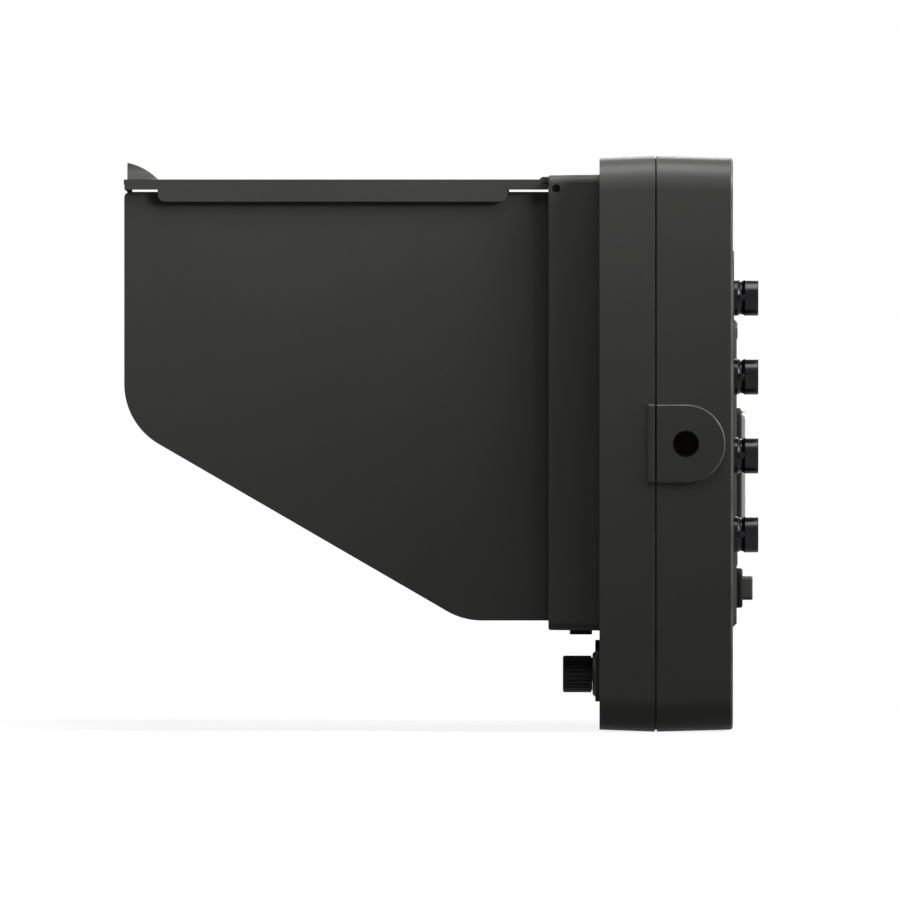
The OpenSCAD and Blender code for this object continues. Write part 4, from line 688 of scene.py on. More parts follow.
plastic("knob_plastic", (29, 29, 28), (34, 34, 33), 0.42, 0.14, fine=5200.0, wear_and_sheen=0.4)
metal("encoder_metal", (158, 160, 162), (186, 188, 190), 0.32)
plastic("back_panel_finish", (46, 46, 43), (51, 51, 47), 0.46, 0.1, fine=2600.0)
metal("screw_steel", (74, 74, 75), (100, 100, 101), 0.34, wear_and_sheen=0.5)
metal("jack_metal", (33, 33, 34), (39, 39, 41), 0.25, across=9000.0, along=9000.0, lines=0.04, wear_and_sheen=0.35,
      wear_sheen_tone=(120, 120, 122), edge=0.7)
plastic("insulator_white", (222, 220, 212), (232, 230, 224), 0.35, 0.5, grain=0.1, wear_and_sheen=0.0, dust=0.08)
metal("contact_gold", (205, 160, 74), (226, 184, 98), 0.2, wear_and_sheen=0.2, wear_sheen_tone=(240, 214, 150))
metal("socket_steel", (168, 170, 171), (190, 192, 193), 0.28)
plastic("bezel_plastic", (26, 26, 25), (31, 31, 30), 0.44, 0.1, wear_and_sheen=0.3)
plastic("power_cap_plastic", (72, 72, 72), (79, 79, 78), 0.5, 0.22, wear_and_sheen=0.4)
plastic("battery_plastic", (38, 38, 36), (44, 44, 42), 0.5, 0.1, fine=2800.0)
metal("lock_plate_metal", (164, 164, 162), (184, 184, 182), 0.45, lines=0.3, wear_sheen_tone=(196, 196, 194), edge=0.6)
plastic("release_plastic", (70, 69, 67), (78, 77, 75), 0.5, 0.25, wear_and_sheen=0.5)
# The inserts are toned near black, with a dulled glancing gloss: painted shade, so that the threaded holes read dark.
metal("insert_brass", (22, 20, 16), (30, 27, 21), 0.6, wear_and_sheen=0.1, wear_sheen_tone=(70, 62, 46), edge=0.2)
# The frame is toned lighter than the case halves: painted light, offsetting the shade it gets beside the step up to the
# case.
plastic("frame_plastic", (62, 63, 60), (66, 66, 63), 0.45, 0.08, broad=34.0)
plastic("latch_plastic", (9, 9, 9), (13, 13, 13), 0.5, 0.1, wear_and_sheen=0.3)
plastic("flap_plastic", (55, 55, 53), (59, 59, 57), 0.45, 0.08, broad=20.0)
plastic("pin_dark", (8, 8, 8), (12, 12, 12), 0.55, 0.08, wear_and_sheen=0.1)
plastic("side_panel_plastic", (53, 54, 51), (56, 57, 54), 0.48, 0.08, broad=14.0)


def finish(obj, slot, body, *nodes):
    """Gives a piece its finish, its body and the nodes that it stands for."""
    obj.data.materials.clear()
    obj.data.materials.append(FINISHES[slot])
    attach(obj, body)
    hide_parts(*nodes)


# ---- The two halves of the case ----
def half_case(name, start, end, outer):
    """One half of the case, drawn in from the seam towards its outer end."""
    half = block(name, (-BODY_X, start, 0), (BODY_X, end, BODY_TOP))
    round_along(half, "Y", CORNER_R, CORNER_STEPS)
    draw_in(half, "Y", outer, ((BODY_X - DRAFT) / BODY_X, 1, (BODY_MIDDLE - DRAFT) / BODY_MIDDLE),
            (0, outer, BODY_MIDDLE))
    return half


def hollow(start, end):
    room = block("hollow", (WALL - BODY_X, start, WALL), (BODY_X - WALL, end, BODY_TOP - WALL))
    round_along(room, "Y", CORNER_R - WALL, CORNER_STEPS)
    return room


def side_pad(start, end):
    """The raised pad round a side thread, between two depths: round behind, with a ramp in front."""
    pad = rod("pad", "X", PAD_CENTRE, PAD_R, BODY_X - 2 * MM, PAD_FACE_X, sides=72)
    slice_off(pad, (0, PAD_Y, 0), (0, -1, 0))
    with Editing(pad, "FACE") as mesh:
        pick(pad, mesh.faces, lambda f: f.normal.y < -0.9)
        bpy.ops.mesh.extrude_region_move(TRANSFORM_OT_translate={"value": (0, PAD_FRONT - PAD_Y, 0)})
    shift(pad, lambda at: at.y < PAD_FRONT + EPS and at.x > BODY_X, (0, PAD_RAMP, 0))
    round_rim(pad, "X", PAD_FACE_X, 0.5 * MM, 4)
    if start > PAD_FRONT:
        slice_off(pad, (0, start, 0), (0, -1, 0))
    if end < PAD_Y + PAD_R:
        slice_off(pad, (0, end, 0), (0, 1, 0))
    return [pad, mirrored(pad, "pad_left")]


def rods_at(name, axis, places, radius, start, end, sides=32):
    """Equal rods at several places, one modelled and the others copied."""
    first = rod(name, axis, places[0], radius, start, end, sides)
    made = [first]
    for spot in places[1:]:
        a, b = spot[0] - places[0][0], spot[1] - places[0][1]
        by = {"X": (0, a, b), "Y": (a, 0, b), "Z": (a, b, 0)}[axis]
        made.append(copy_of(first, name, by))
    return made


SHELL_HEAD_R, SHELL_SHANK_R = 2.8 * MM, 1.5 * MM
PLATE_HEAD_R, PLATE_SHANK_R = 2.1 * MM, 1.1 * MM
SCREW_X = SCREW_HIGH.x - SHELL_HEAD_R
SCREW_PLACES = [(x, z) for x in (-SCREW_X, SCREW_X)
                for z in (SCREW_LOW.z + SHELL_HEAD_R, SCREW_HIGH.z - SHELL_HEAD_R)]
SCREW_SEAT = SEAM_BACK + 3.2 * MM
SCREW_BORE_R, SCREW_BORE_DEEP = 1.51 * MM, 8 * MM
SCREW_HOLE_R, HEAD_HOLE_R = 1.6 * MM, 2.95 * MM
POST_R, POST_SINK = 3.6 * MM, 0.5 * MM
WINDOW_LIP = 1.5 * MM
GLASS_CORNER_R = 1.5 * MM
STRIP_MIDDLE = (STRIP_LOW.z + STRIP_HIGH.z) / 2
KNOB_X = (KNOB_LOW.x + KNOB_HIGH.x) / 2
KNOB_CENTRE = (KNOB_X, STRIP_MIDDLE)
LENS_CENTRE = ((LENS_LOW.x + LENS_HIGH.x) / 2, STRIP_MIDDLE)
LENS_R = (LENS_HIGH.x - LENS_LOW.x) / 2
BUSHING_R = 3.5 * MM
KNOB_RIBS = 28
KEY_X = [(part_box(f"key_{i}")[0].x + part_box(f"key_{i}")[1].x) / 2 for i in range(1, 6)]
KEY_HALF_W, KEY_HALF_H, KEY_R = 5 * MM, 2.7 * MM, MM
LATCH_Y = (LATCH_LOW.y + LATCH_HIGH.y) / 2
LATCH_TRAVEL = 4 * MM
INSIDE = FACE_Y + FACE_WALL


def key_form(name, x, grow, start, end):
    """The rounded form of a push key, grown all round by a gap."""
    form = block(name, (x - KEY_HALF_W - grow, start, STRIP_MIDDLE - KEY_HALF_H - grow),
                 (x + KEY_HALF_W + grow, end, STRIP_MIDDLE + KEY_HALF_H + grow))
    round_along(form, "Y", KEY_R + grow, 6)
    return form


def front_openings(start, end):
    """The openings for keys, knob and lamp that the front shell shares with the strip on it."""
    first = key_form("key_hole", KEY_X[0], GAP, start, end)
    return [first] + [copy_of(first, "key_hole", (x - KEY_X[0], 0, 0)) for x in KEY_X[1:]] + [
        rod("knob_hole", "Y", KNOB_CENTRE, BUSHING_R, start, end),
        rod("lens_hole", "Y", LENS_CENTRE, LENS_R + 0.05 * MM, start, end)]


def seam_groove(start, end):
    """The ring cut from a half of the case at the seam, which leaves a groove over the gasket."""
    ring = block("seam_groove", (-PAD_FACE_X - MM, start, -MM), (PAD_FACE_X + MM, end, BODY_TOP + MM))
    core = block("core", (GROOVE - BODY_X, start - MM, GROOVE), (BODY_X - GROOVE, end + MM, BODY_TOP - GROOVE))
    round_along(core, "Y", CORNER_R - GROOVE, CORNER_STEPS)
    return cut(ring, core)


def on_pad_rim(at, normal):
    """Tells the rounded rim of a side pad."""
    return abs(at.x) > BODY_X + 0.05 * MM and abs(normal.x) < 0.97


def make_front_shell():
    shell = half_case("monitor_front_shell", FACE_Y, SEAM_FRONT, FACE_Y)
    cut(shell, hollow(INSIDE, SEAM_FRONT + MM))
    add(shell, *side_pad(PAD_FRONT, SEAM_FRONT))
    posts = rods_at("post", "Y", SCREW_PLACES, POST_R, INSIDE - POST_SINK, SEAM_FRONT)
    add(shell, together("posts", posts))
    pocket = block("glass_pocket", (GLASS_LOW.x - GAP, FACE_Y - MM, GLASS_LOW.z - GAP),
                   (GLASS_HIGH.x + GAP, GLASS_HIGH.y, GLASS_HIGH.z + GAP))
    round_along(pocket, "Y", GLASS_CORNER_R + GAP, 6)
    window = block("window", (DISPLAY_LOW.x + WINDOW_LIP, FACE_Y - MM, DISPLAY_LOW.z + WINDOW_LIP),
                   (DISPLAY_HIGH.x - WINDOW_LIP, INSIDE + MM, DISPLAY_HIGH.z - WINDOW_LIP))
    cut(shell, pocket)
    cut(shell, window)
    cut_row(shell, front_openings(FACE_Y - MM, INSIDE + MM))
    cut_row(shell, rods_at("bore", "Y", SCREW_PLACES, SCREW_BORE_R, SEAM_FRONT - SCREW_BORE_DEEP, SEAM_FRONT + MM))
    cut(shell, seam_groove(SEAM_FRONT - GROOVE_BITE, SEAM_FRONT + MM))
    soften(shell, 0.1 * MM)
    # The pad rims get the edge wear tone as a painted highlight.
    rub_and_highlight(shell, on_pad_rim)
    finish(shell, "shell_plastic", "housing", "front_shell")


def slot_form(name, x, width, low, high, start, end):
    """A slot with round ends."""
    form = block(name, (x - width / 2, start, low), (x + width / 2, end, high))
    round_along(form, "Y", 0.495 * width, 6)
    return form


def slot_row(name, centre, count, pitch, low, high, start, end):
    first = slot_form(name, centre - (count - 1) / 2 * pitch, SLOT_WIDE, low, high, start, end)
    return row_of(first, name, (pitch, 0, 0), count)


def low_box(name, low, high, corner, edge, start, end, grow=0.0):
    """A plate or hole with round corners that lies across Y; its outer rim is rounded by an edge."""
    form = block(name, (low[0] - grow, start, low[1] - grow), (high[0] + grow, end, high[1] + grow))
    round_along(form, "Y", corner + grow, 8)
    if edge:
        round_rim(form, "Y", end, edge, 3)
    return form


PANEL_H = PANEL_HIGH.z - PANEL_LOW.z
SLOT_WIDE = 2.4 * MM
VENT_STEP, SPEAKER_STEP = 9 * MM, 5 * MM
VENT_LOW, VENT_HIGH = BODY_TOP - 33.1 * MM, BODY_TOP - 13.1 * MM
PANEL_VENT_LOW = PANEL_LOW.z + 0.7888 * PANEL_H
PANEL_VENT_HIGH = PANEL_VENT_LOW + 9 * MM
SPEAKER_X = (SPEAKER_LOW.x + SPEAKER_HIGH.x) / 2
SPEAKER_Z = (SPEAKER_LOW.z + SPEAKER_HIGH.z) / 2
SOCKET_X = (VIDEO_LOW.x + VIDEO_HIGH.x) / 2
VIDEO_HALF_W, VIDEO_HALF_H = (VIDEO_HIGH.x - VIDEO_LOW.x) / 2, 2.8 * MM
SOCKET_FLOOR = 1.2 * MM
VIDEO_HEIGHTS = (VIDEO_HIGH.z - VIDEO_HALF_H, VIDEO_LOW.z + VIDEO_HALF_H)
SERVICE_Z = (SERVICE_LOW.z + SERVICE_HIGH.z) / 2
SERVICE_HALF_W, SERVICE_HALF_H = (SERVICE_HIGH.x - SERVICE_LOW.x) / 2, (SERVICE_HIGH.z - SERVICE_LOW.z) / 2
SERVICE_CORNERS = ((SOCKET_X - SERVICE_HALF_W, SERVICE_Z - SERVICE_HALF_H),
                   (SOCKET_X + SERVICE_HALF_W, SERVICE_Z + SERVICE_HALF_H))
EARPHONE_CENTRE = (SOCKET_X, (EARPHONE_LOW.z + EARPHONE_HIGH.z) / 2)
EARPHONE_R = (EARPHONE_HIGH.x - EARPHONE_LOW.x) / 2
INLET_CENTRE = ((INLET_LOW.x + INLET_HIGH.x) / 2, (INLET_LOW.z + INLET_HIGH.z) / 2)
INLET_R = (INLET_HIGH.x - INLET_LOW.x) / 2
POWER_X, POWER_Z = (BEZEL_LOW.x + BEZEL_HIGH.x) / 2, (BEZEL_LOW.z + BEZEL_HIGH.z) / 2
POWER_HALF_W, POWER_HALF_H = 4.3 * MM, 3.15 * MM
POWER_CORNERS = ((POWER_X - POWER_HALF_W, POWER_Z - POWER_HALF_H),
                 (POWER_X + POWER_HALF_W, POWER_Z + POWER_HALF_H))
PANEL_SCREWS = [(x, z) for x in (PLATE_SCREW_LOW.x + PLATE_HEAD_R, PLATE_SCREW_HIGH.x - PLATE_HEAD_R)
                for z in (PLATE_SCREW_LOW.z + PLATE_HEAD_R, PLATE_SCREW_HIGH.z - PLATE_HEAD_R)]
PLATE_SCREW_HOLE_R = 1.11 * MM


def video_form(name, z, grow, start, end):
    """The outline of a video socket: a box whose lower corners are cut off."""
    form = block(name, (SOCKET_X - VIDEO_HALF_W - grow, start, z - VIDEO_HALF_H - grow),
                 (SOCKET_X + VIDEO_HALF_W + grow, end, z + VIDEO_HALF_H + grow))
    with Editing(form) as mesh:
        pick(form, mesh.edges, lambda e: runs_along(e, "Y") and middle(e).z < z)
        bpy.ops.mesh.bevel(offset=2.1 * MM, segments=1, affect="EDGES")
    return form


def back_openings(start, end):
    """Every opening that the rear shell shares with the panel on it."""
    first = video_form("video_opening", VIDEO_HEIGHTS[0], GAP, start, end)
    return [
        first, copy_of(first, "video_opening", (0, 0, VIDEO_HEIGHTS[1] - VIDEO_HEIGHTS[0])),
        low_box("service_opening", *SERVICE_CORNERS, 0.5 * MM, 0, start, end, GAP),
        rod("earphone_opening", "Y", EARPHONE_CENTRE, EARPHONE_R + GAP, start, end),
        rod("inlet_opening", "Y", INLET_CENTRE, INLET_R + GAP, start, end),
        low_box("power_opening", *POWER_CORNERS, MM, 0, start, end, GAP),
        *slot_row("panel_vent", 0, 7, VENT_STEP, PANEL_VENT_LOW, PANEL_VENT_HIGH, start, end),
        *slot_row("speaker_slot", SPEAKER_X, 6, SPEAKER_STEP, SPEAKER_Z - 5.5 * MM, SPEAKER_Z + 5.5 * MM, start, end)]


def make_rear_shell():
    shell = half_case("monitor_rear_shell", SEAM_BACK, BACK_Y, BACK_Y)
    round_rim(shell, "Y", BACK_Y, REAR_RIM, 5)
    inner = BACK_Y - WALL
    cut(shell, hollow(SEAM_BACK - MM, inner))
    add(shell, *side_pad(SEAM_BACK, PAD_Y + PAD_R))
    jack_pad = low_box("jack_pad", (JACK_X - JACK_PAD_HALF_W, JACK_FIRST - 8 * MM),
                       (JACK_X + JACK_PAD_HALF_W, JACK_HEIGHTS[-1] + 12.5 * MM), 3 * MM, 0.12 * MM,
                       BACK_Y - MM, BACK_Y + 0.3 * MM)
    posts = rods_at("post", "Y", SCREW_PLACES, POST_R, SEAM_BACK, inner + POST_SINK)
    boss = rod("boss", "X", PAD_CENTRE, BOSS_R, INSERT_HIGH.x - INSERT_DEEP, BODY_X - MM)
    foot = rod("foot_boss", "Z", (0, PAD_Y), BOSS_R, MM, TRIPOD_HIGH.z)
    add(shell, jack_pad, together("posts", posts), together("bosses", [boss, mirrored(boss, "boss_left"), foot]))
    nest = rod("nest", "X", PAD_CENTRE, NEST_R, INSERT_HIGH.x - INSERT_DEEP - MM, INSERT_HIGH.x)
    mouth = rod("mouth", "X", PAD_CENTRE, THREAD_MOUTH_R, INSERT_HIGH.x - INSERT_DEEP, PAD_FACE_X + MM, 64)
    cut_row(shell, [nest, mirrored(nest, "nest_left"),
                    rod("foot_nest", "Z", (0, PAD_Y), NEST_R, TRIPOD_LOW.z, TRIPOD_HIGH.z + MM)])
    cut_row(shell, [mouth, mirrored(mouth, "mouth_left"),
                    rod("foot_mouth", "Z", (0, PAD_Y), THREAD_MOUTH_R, -MM, TRIPOD_HIGH.z, 64)])
    cut_row(shell, rods_at("bore", "Y", SCREW_PLACES, SCREW_HOLE_R, SEAM_BACK - MM, SEAM_BACK + 4 * MM))
    cut_row(shell, rods_at("counterbore", "Y", SCREW_PLACES, HEAD_HOLE_R, SCREW_SEAT, BACK_Y + MM, 48))
    cut_row(shell, back_openings(inner - MM, BACK_Y + MM)
            + rods_at("jack_hole", "Y", [(JACK_X, z) for z in JACK_HEIGHTS], JACK_R + GAP,
                      inner - MM, BACK_Y + MM, 48)
            + slot_row("vent", 0, 15, VENT_STEP, VENT_LOW, VENT_HIGH, inner - MM, BACK_Y + MM)
            + rods_at("panel_screw_hole", "Y", PANEL_SCREWS, PLATE_SCREW_HOLE_R, inner - MM, BACK_Y + MM))
    cut(shell, seam_groove(SEAM_BACK - MM, SEAM_BACK + GROOVE_BITE))
    soften(shell, 0.1 * MM)
    # The pad rims and the rounded rear rim get the edge wear tone as a painted highlight.
    rub_and_highlight(shell, lambda at, normal: on_pad_rim(at, normal)
        or at.y > BACK_Y - REAR_RIM and 0.2 < normal.y < 0.97 and Vector((normal.x, normal.z)).length > 0.2)
    finish(shell, "rear_shell_finish", "housing", "rear_shell")


# ---- Hood ----
FRAME_X = FRAME_HIGH.x
FRAME_DRAFT = 0.13 * MM
FRAME_WALL = 2 * MM
FRAME_FLOOR = FRAME_LOW.z + FRAME_DRAFT + 2.2 * MM
FRAME_TOP = FRAME_HIGH.z - FRAME_DRAFT - 2 * MM
FRAME_MIDDLE = (FRAME_LOW.z + FRAME_HIGH.z) / 2
PANEL_X = (RIGHT_LOW.x + RIGHT_HIGH.x) / 2
PANEL_HALF = 0.7 * MM
HINGE_HOLE_R, HINGE_HOLE_DEEP = 0.81 * MM, 1.4 * MM
FLANGE_X = FLAP_HIGH.x


def make_hood_frame():
    half_h = (FRAME_HIGH.z - FRAME_LOW.z) / 2
    hood = block("hood_frame_piece", (-FRAME_X, FRAME_LOW.y, FRAME_LOW.z), (FRAME_X, FACE_Y, FRAME_HIGH.z))
    round_along(hood, "Y", 2.2 * MM, 8)
    draw_in(hood, "Y", FRAME_LOW.y, (1, 1, (half_h - FRAME_DRAFT) / half_h), (0, FRAME_LOW.y, FRAME_MIDDLE))
    round_rim(hood, "Y", FRAME_LOW.y, 0.6 * MM, 3)
    for height in (FRAME_LOW.z + 1.33 * MM, FRAME_HIGH.z - 1.33 * MM):
        for x in (-0.35 * 2 * FRAME_X, 0.35 * 2 * FRAME_X):
            add(hood, block("tab", (x - 6 * MM, FACE_Y - MM, height - 0.6 * MM),
                            (x + 6 * MM, FACE_Y + 1.8 * MM, height + 0.6 * MM)))
    inside = block("inside", (FRAME_WALL - FRAME_X, FRAME_LOW.y - MM, FRAME_FLOOR),
                   (FRAME_X - FRAME_WALL, FACE_Y + MM, FRAME_TOP))
    round_along(inside, "Y", MM, 5)
    open_top = block("open_top", (FRAME_WALL - FRAME_X, FRAME_LOW.y - MM, FRAME_MIDDLE),
                     (FRAME_X - FRAME_WALL, deep(-7.5), FRAME_HIGH.z + MM))
    cut(hood, inside)
    cut(hood, open_top)
    cut(hood, rod("pin_hole", "X", PIN_CENTRE, 1.1 * MM, -FRAME_X - MM, FRAME_X + MM, 32))
    for side, hinge in HINGE_PLACES:
        cut_row(hood, [rod("hinge_hole", "Z", (side * PANEL_X, deep(hinge)), HINGE_HOLE_R, start, end, 24)
                       for start, end in ((FRAME_FLOOR - HINGE_HOLE_DEEP, FRAME_FLOOR + MM),
                                          (FRAME_TOP - MM, FRAME_TOP + HINGE_HOLE_DEEP))])
    # The latch slides 4 mm, so each of its slots runs that much further to the right.
    for name, half_w, half_y, low, high in (
            ("stem_slot", 4.15 * MM, 1.6 * MM, FRAME_LOW.z - MM, FRAME_FLOOR),
            ("plate_slot", 7.15 * MM, 3.15 * MM, FRAME_LOW.z + 1.13 * MM, FRAME_FLOOR + MM)):
        cut(hood, block(name, (-half_w, LATCH_Y - half_y, low), (half_w + LATCH_TRAVEL, LATCH_Y + half_y, high)))
    soften(hood, 0.15 * MM)
    finish(hood, "frame_plastic", "housing", "hood_frame")


def rounded(points, radii, steps):
    """An outline with each corner rounded by its own radius."""
    made = []
    for i, (corner, radius) in enumerate(zip(points, radii)):
        corner = Vector(corner)
        if not radius:
            made.append(corner)
            continue
        u = (Vector(points[i - 1]) - corner).normalized()
        v = (Vector(points[(i + 1) % len(points)]) - corner).normalized()
        half = u.angle(v) / 2
        centre = corner + (u + v).normalized() * radius / math.sin(half)
        first = corner + u * radius / math.tan(half) - centre
        last = corner + v * radius / math.tan(half) - centre
        span = math.pi - 2 * half
        side = 1 if first.x * last.y - first.y * last.x > 0 else -1
        for k in range(steps + 1):
            made.append(centre + Matrix.Rotation(side * span * k / steps, 2) @ first)
    return made


def arc(centre, radius, start, end, steps):
    """Points of an arc, in degrees."""
    angles = [math.radians(start + (end - start) * k / steps) for k in range(steps + 1)]
    return [Vector(centre) + radius * Vector((math.cos(a), math.sin(a))) for a in angles]


def profile_plate(name, outline, start, end):
    """A plate from one X to another: a point drawn round its outline in Y and Z, filled and extruded."""
    with Drawing(name, [Vector((start, p[0], p[1])) for p in outline]) as plate:
        bpy.ops.mesh.edge_face_add()
        bpy.ops.mesh.select_all(action="SELECT")
        bpy.ops.mesh.extrude_region_move(TRANSFORM_OT_translate={"value": (end - start, 0, 0)})
        bpy.ops.mesh.select_all(action="SELECT")
        bpy.ops.mesh.normals_make_consistent(inside=False)
    return plate


FLANGE_THICK = 1.2 * MM
FLANGE_Y = (deep(-117.6), SHEET_REAR - 10.6 * MM)
EAR_R = 2.1 * MM
CREST = PIN_Z + 3.1 * MM
CREST_THICK = 1.4 * MM
LIP_HALF_W = 98.6 * MM
GRIP_TOP = FLAP_HIGH.z
GRIP_R = 15.7 * MM
GRIP_HALF_W = 20 * MM


def make_top_flap():
    flap = block("top_flap_piece", (-FLANGE_X, SHEET_FRONT, SHEET_UNDER), (FLANGE_X, SHEET_REAR, SHEET_TOP))
    round_along(flap, "Z", 0.4 * MM, 4, lambda at: at.y < deep(-100))
    middle_z = (SHEET_UNDER + SHEET_TOP) / 2
    inner = FLANGE_X - FLANGE_THICK
    flange = block("flange", (inner, FLANGE_Y[0], PIN_Z - 3.5 * MM), (FLANGE_X, FLANGE_Y[1], middle_z))
    round_along(flange, "X", 2.1 * MM, 8, lambda at: at.z < PIN_Z)
    band = block("band", (inner, SHEET_FRONT + 0.15 * MM, PIN_Z - 0.33 * MM), (FLANGE_X, SHEET_REAR, middle_z))
    ear = profile_plate("ear", [
        (SHEET_REAR - CREST_THICK, SHEET_UNDER), (SHEET_REAR, SHEET_UNDER), (PIN_Y - EAR_R, PIN_Z),
        *arc(PIN_CENTRE, EAR_R, 180, 450, 30), (SHEET_REAR, CREST), (SHEET_REAR - CREST_THICK, CREST)],
        inner, FLANGE_X)
    rib = profile_plate("rib", [
        (SHEET_REAR - 2.2 * MM, middle_z), (SHEET_REAR, middle_z), (SHEET_REAR, CREST),
        (SHEET_REAR - CREST_THICK, CREST), (SHEET_REAR - 2.2 * MM, SHEET_TOP)], -FLANGE_X, FLANGE_X)
    lip = profile_plate("lip", arc(PIN_CENTRE, 3.3 * MM, 150, 0, 24) + arc(PIN_CENTRE, 2.2 * MM, 0, 150, 24),
                        -LIP_HALF_W, LIP_HALF_W)
    grip = block("grip", (-GRIP_HALF_W, SHEET_FRONT, middle_z), (GRIP_HALF_W, SHEET_FRONT + 7.9 * MM, GRIP_TOP))
    combine(grip, [rod("grip_arc", "X", (deep(-130.03), PIN_Z - 8.47 * MM), GRIP_R,
                       -GRIP_HALF_W - MM, GRIP_HALF_W + MM, 240)], "INTERSECT")
    for side in (-1, 1):
        cut(grip, rod("flank", "Y", (side * GRIP_HALF_W, GRIP_TOP), GRIP_TOP - SHEET_TOP,
                      SHEET_FRONT - MM, SHEET_FRONT + 9 * MM, 96))
    front, hook_low = FLAP_LOW.y, SHEET_UNDER - 2.2 * MM
    hook = profile_plate("hook", [
        (front, hook_low + 0.8 * MM), (front + 0.8 * MM, hook_low), (front + 1.9 * MM, hook_low),
        (front + 1.9 * MM, middle_z), (front + 0.95 * MM, middle_z), (front, hook_low + 1.6 * MM)],
        -6 * MM, 6 * MM)
    add(flap, band, mirrored(band, "band_left"), flange, mirrored(flange, "flange_left"), rib,
        ear, mirrored(ear, "ear_left"), lip, grip, hook)
    cut(flap, rod("pin_hole", "X", PIN_CENTRE, 1.15 * MM, -FLANGE_X - MM, FLANGE_X + MM, 32))
    soften(flap, 0.12 * MM, wide_flat=True)
    finish(flap, "flap_plastic", "hood_flap", "top_flap")


PANEL_BASE, PANEL_TOP = RIGHT_LOW.z, RIGHT_HIGH.z
PANEL_FRONT = RIGHT_LOW.y


def make_side_panel(name, side, hinge, body, node):
    hinge_y = deep(hinge)
    outline = rounded(
        [(hinge_y, PANEL_BASE), (hinge_y, PANEL_TOP), (PANEL_FRONT, PANEL_TOP),
         (PANEL_FRONT, PANEL_BASE + 52.3 * MM), (deep(-36.3), PANEL_BASE)],
        [0, 0, 1.6 * MM, 18.5 * MM, 18.5 * MM], 20)
    panel = profile_plate(name, outline, PANEL_X - PANEL_HALF, PANEL_X + PANEL_HALF)
    add(panel, rod("barrel", "Z", (PANEL_X, hinge_y), 1.5 * MM, PANEL_BASE, PANEL_TOP, 40))
    cut_row(panel, [rod("bore", "Z", (PANEL_X, hinge_y), 0.85 * MM, start, end, 24)
                    for start, end in ((PANEL_BASE - MM, PANEL_BASE + 2.1 * MM),
                                       (PANEL_TOP - 2.1 * MM, PANEL_TOP + MM))])
    if side < 0:
        plain = panel
        panel = mirrored(plain, name)
        bpy.data.objects.remove(plain, do_unlink=True)
        panel.name = name
    soften(panel, 0.18 * MM)
    finish(panel, "side_panel_plastic", body, node)


def make_flap_pins():
    pin = rod("flap_pin_set", "X", PIN_CENTRE, 1.09 * MM, FLANGE_X - 1.3 * MM, PIN_HIGH.x, 40)
    dish(pin, (1, 0, 0), 0.3 * MM, 0.15 * MM)
    pins = together("flap_pin_set", [pin, mirrored(pin, "pin_left")])
    soften(pins, 0.1 * MM)
    finish(pins, "pin_dark", "housing", "flap_pins")


def make_latch():
    head = block("hood_latch_piece", LATCH_LOW, (LATCH_HIGH.x, LATCH_HIGH.y, LATCH_LOW.z + 1.6 * MM))
    stem = block("stem", (-4 * MM, LATCH_Y - 1.45 * MM, LATCH_LOW.z + MM), (4 * MM, LATCH_Y + 1.45 * MM, LATCH_HIGH.z))
    add(head, stem)
    first = block("ridge", (-3.9 * MM, LATCH_LOW.y - MM, LATCH_LOW.z - MM),
                  (-3.3 * MM, LATCH_HIGH.y + MM, LATCH_LOW.z + 0.4 * MM))
    cut_row(head, row_of(first, "ridge", (RIDGE_STEP, 0, 0), 6))
    soften(head, 0.12 * MM)
    finish(head, "latch_plastic", "latch", "hood_latch")


# ---- Controls under the screen ----
def make_control_strip():
    strip = low_box("control_strip_piece", (STRIP_LOW.x, STRIP_LOW.z), (STRIP_HIGH.x, STRIP_HIGH.z),
                    3 * MM, 0, STRIP_LOW.y, STRIP_HIGH.y)
    round_rim(strip, "Y", STRIP_LOW.y, 0.3 * MM, 3)
    cut_row(strip, front_openings(STRIP_LOW.y - MM, STRIP_HIGH.y + MM))
    soften(strip, 0.08 * MM)
    finish(strip, "strip_plastic", "housing", "control_strip")


def make_keys():
    low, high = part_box("key_1")
    first = key_form("key_piece_1", KEY_X[0], 0, low.y, high.y - 0.4 * MM)
    round_rim(first, "Y", low.y, 0.35 * MM, 4)
    dish(first, (0, -1, 0), 0.7 * MM, 0.12 * MM)
    add(first, key_form("key_foot", KEY_X[0], MM, high.y - 0.8 * MM, high.y))
    keys = [first] + [copy_of(first, f"key_piece_{i + 1}", (KEY_X[i] - KEY_X[0], 0, 0)) for i in range(1, 5)]
    for i, (key, word) in enumerate(zip(keys, ("one", "two", "three", "four", "five"))):
        soften(key, 0.08 * MM)
        finish(key, "key_rubber", f"key_{word}", f"key_{i + 1}")


def make_lens():
    lens = rod("status_lens_piece", "Y", LENS_CENTRE, LENS_R, LENS_LOW.y, LENS_HIGH.y, 40)
    round_rim(lens, "Y", LENS_LOW.y, 0.25 * MM, 4)
    soften(lens, 0)
    finish(lens, "lens_plastic", "housing", "status_lens")


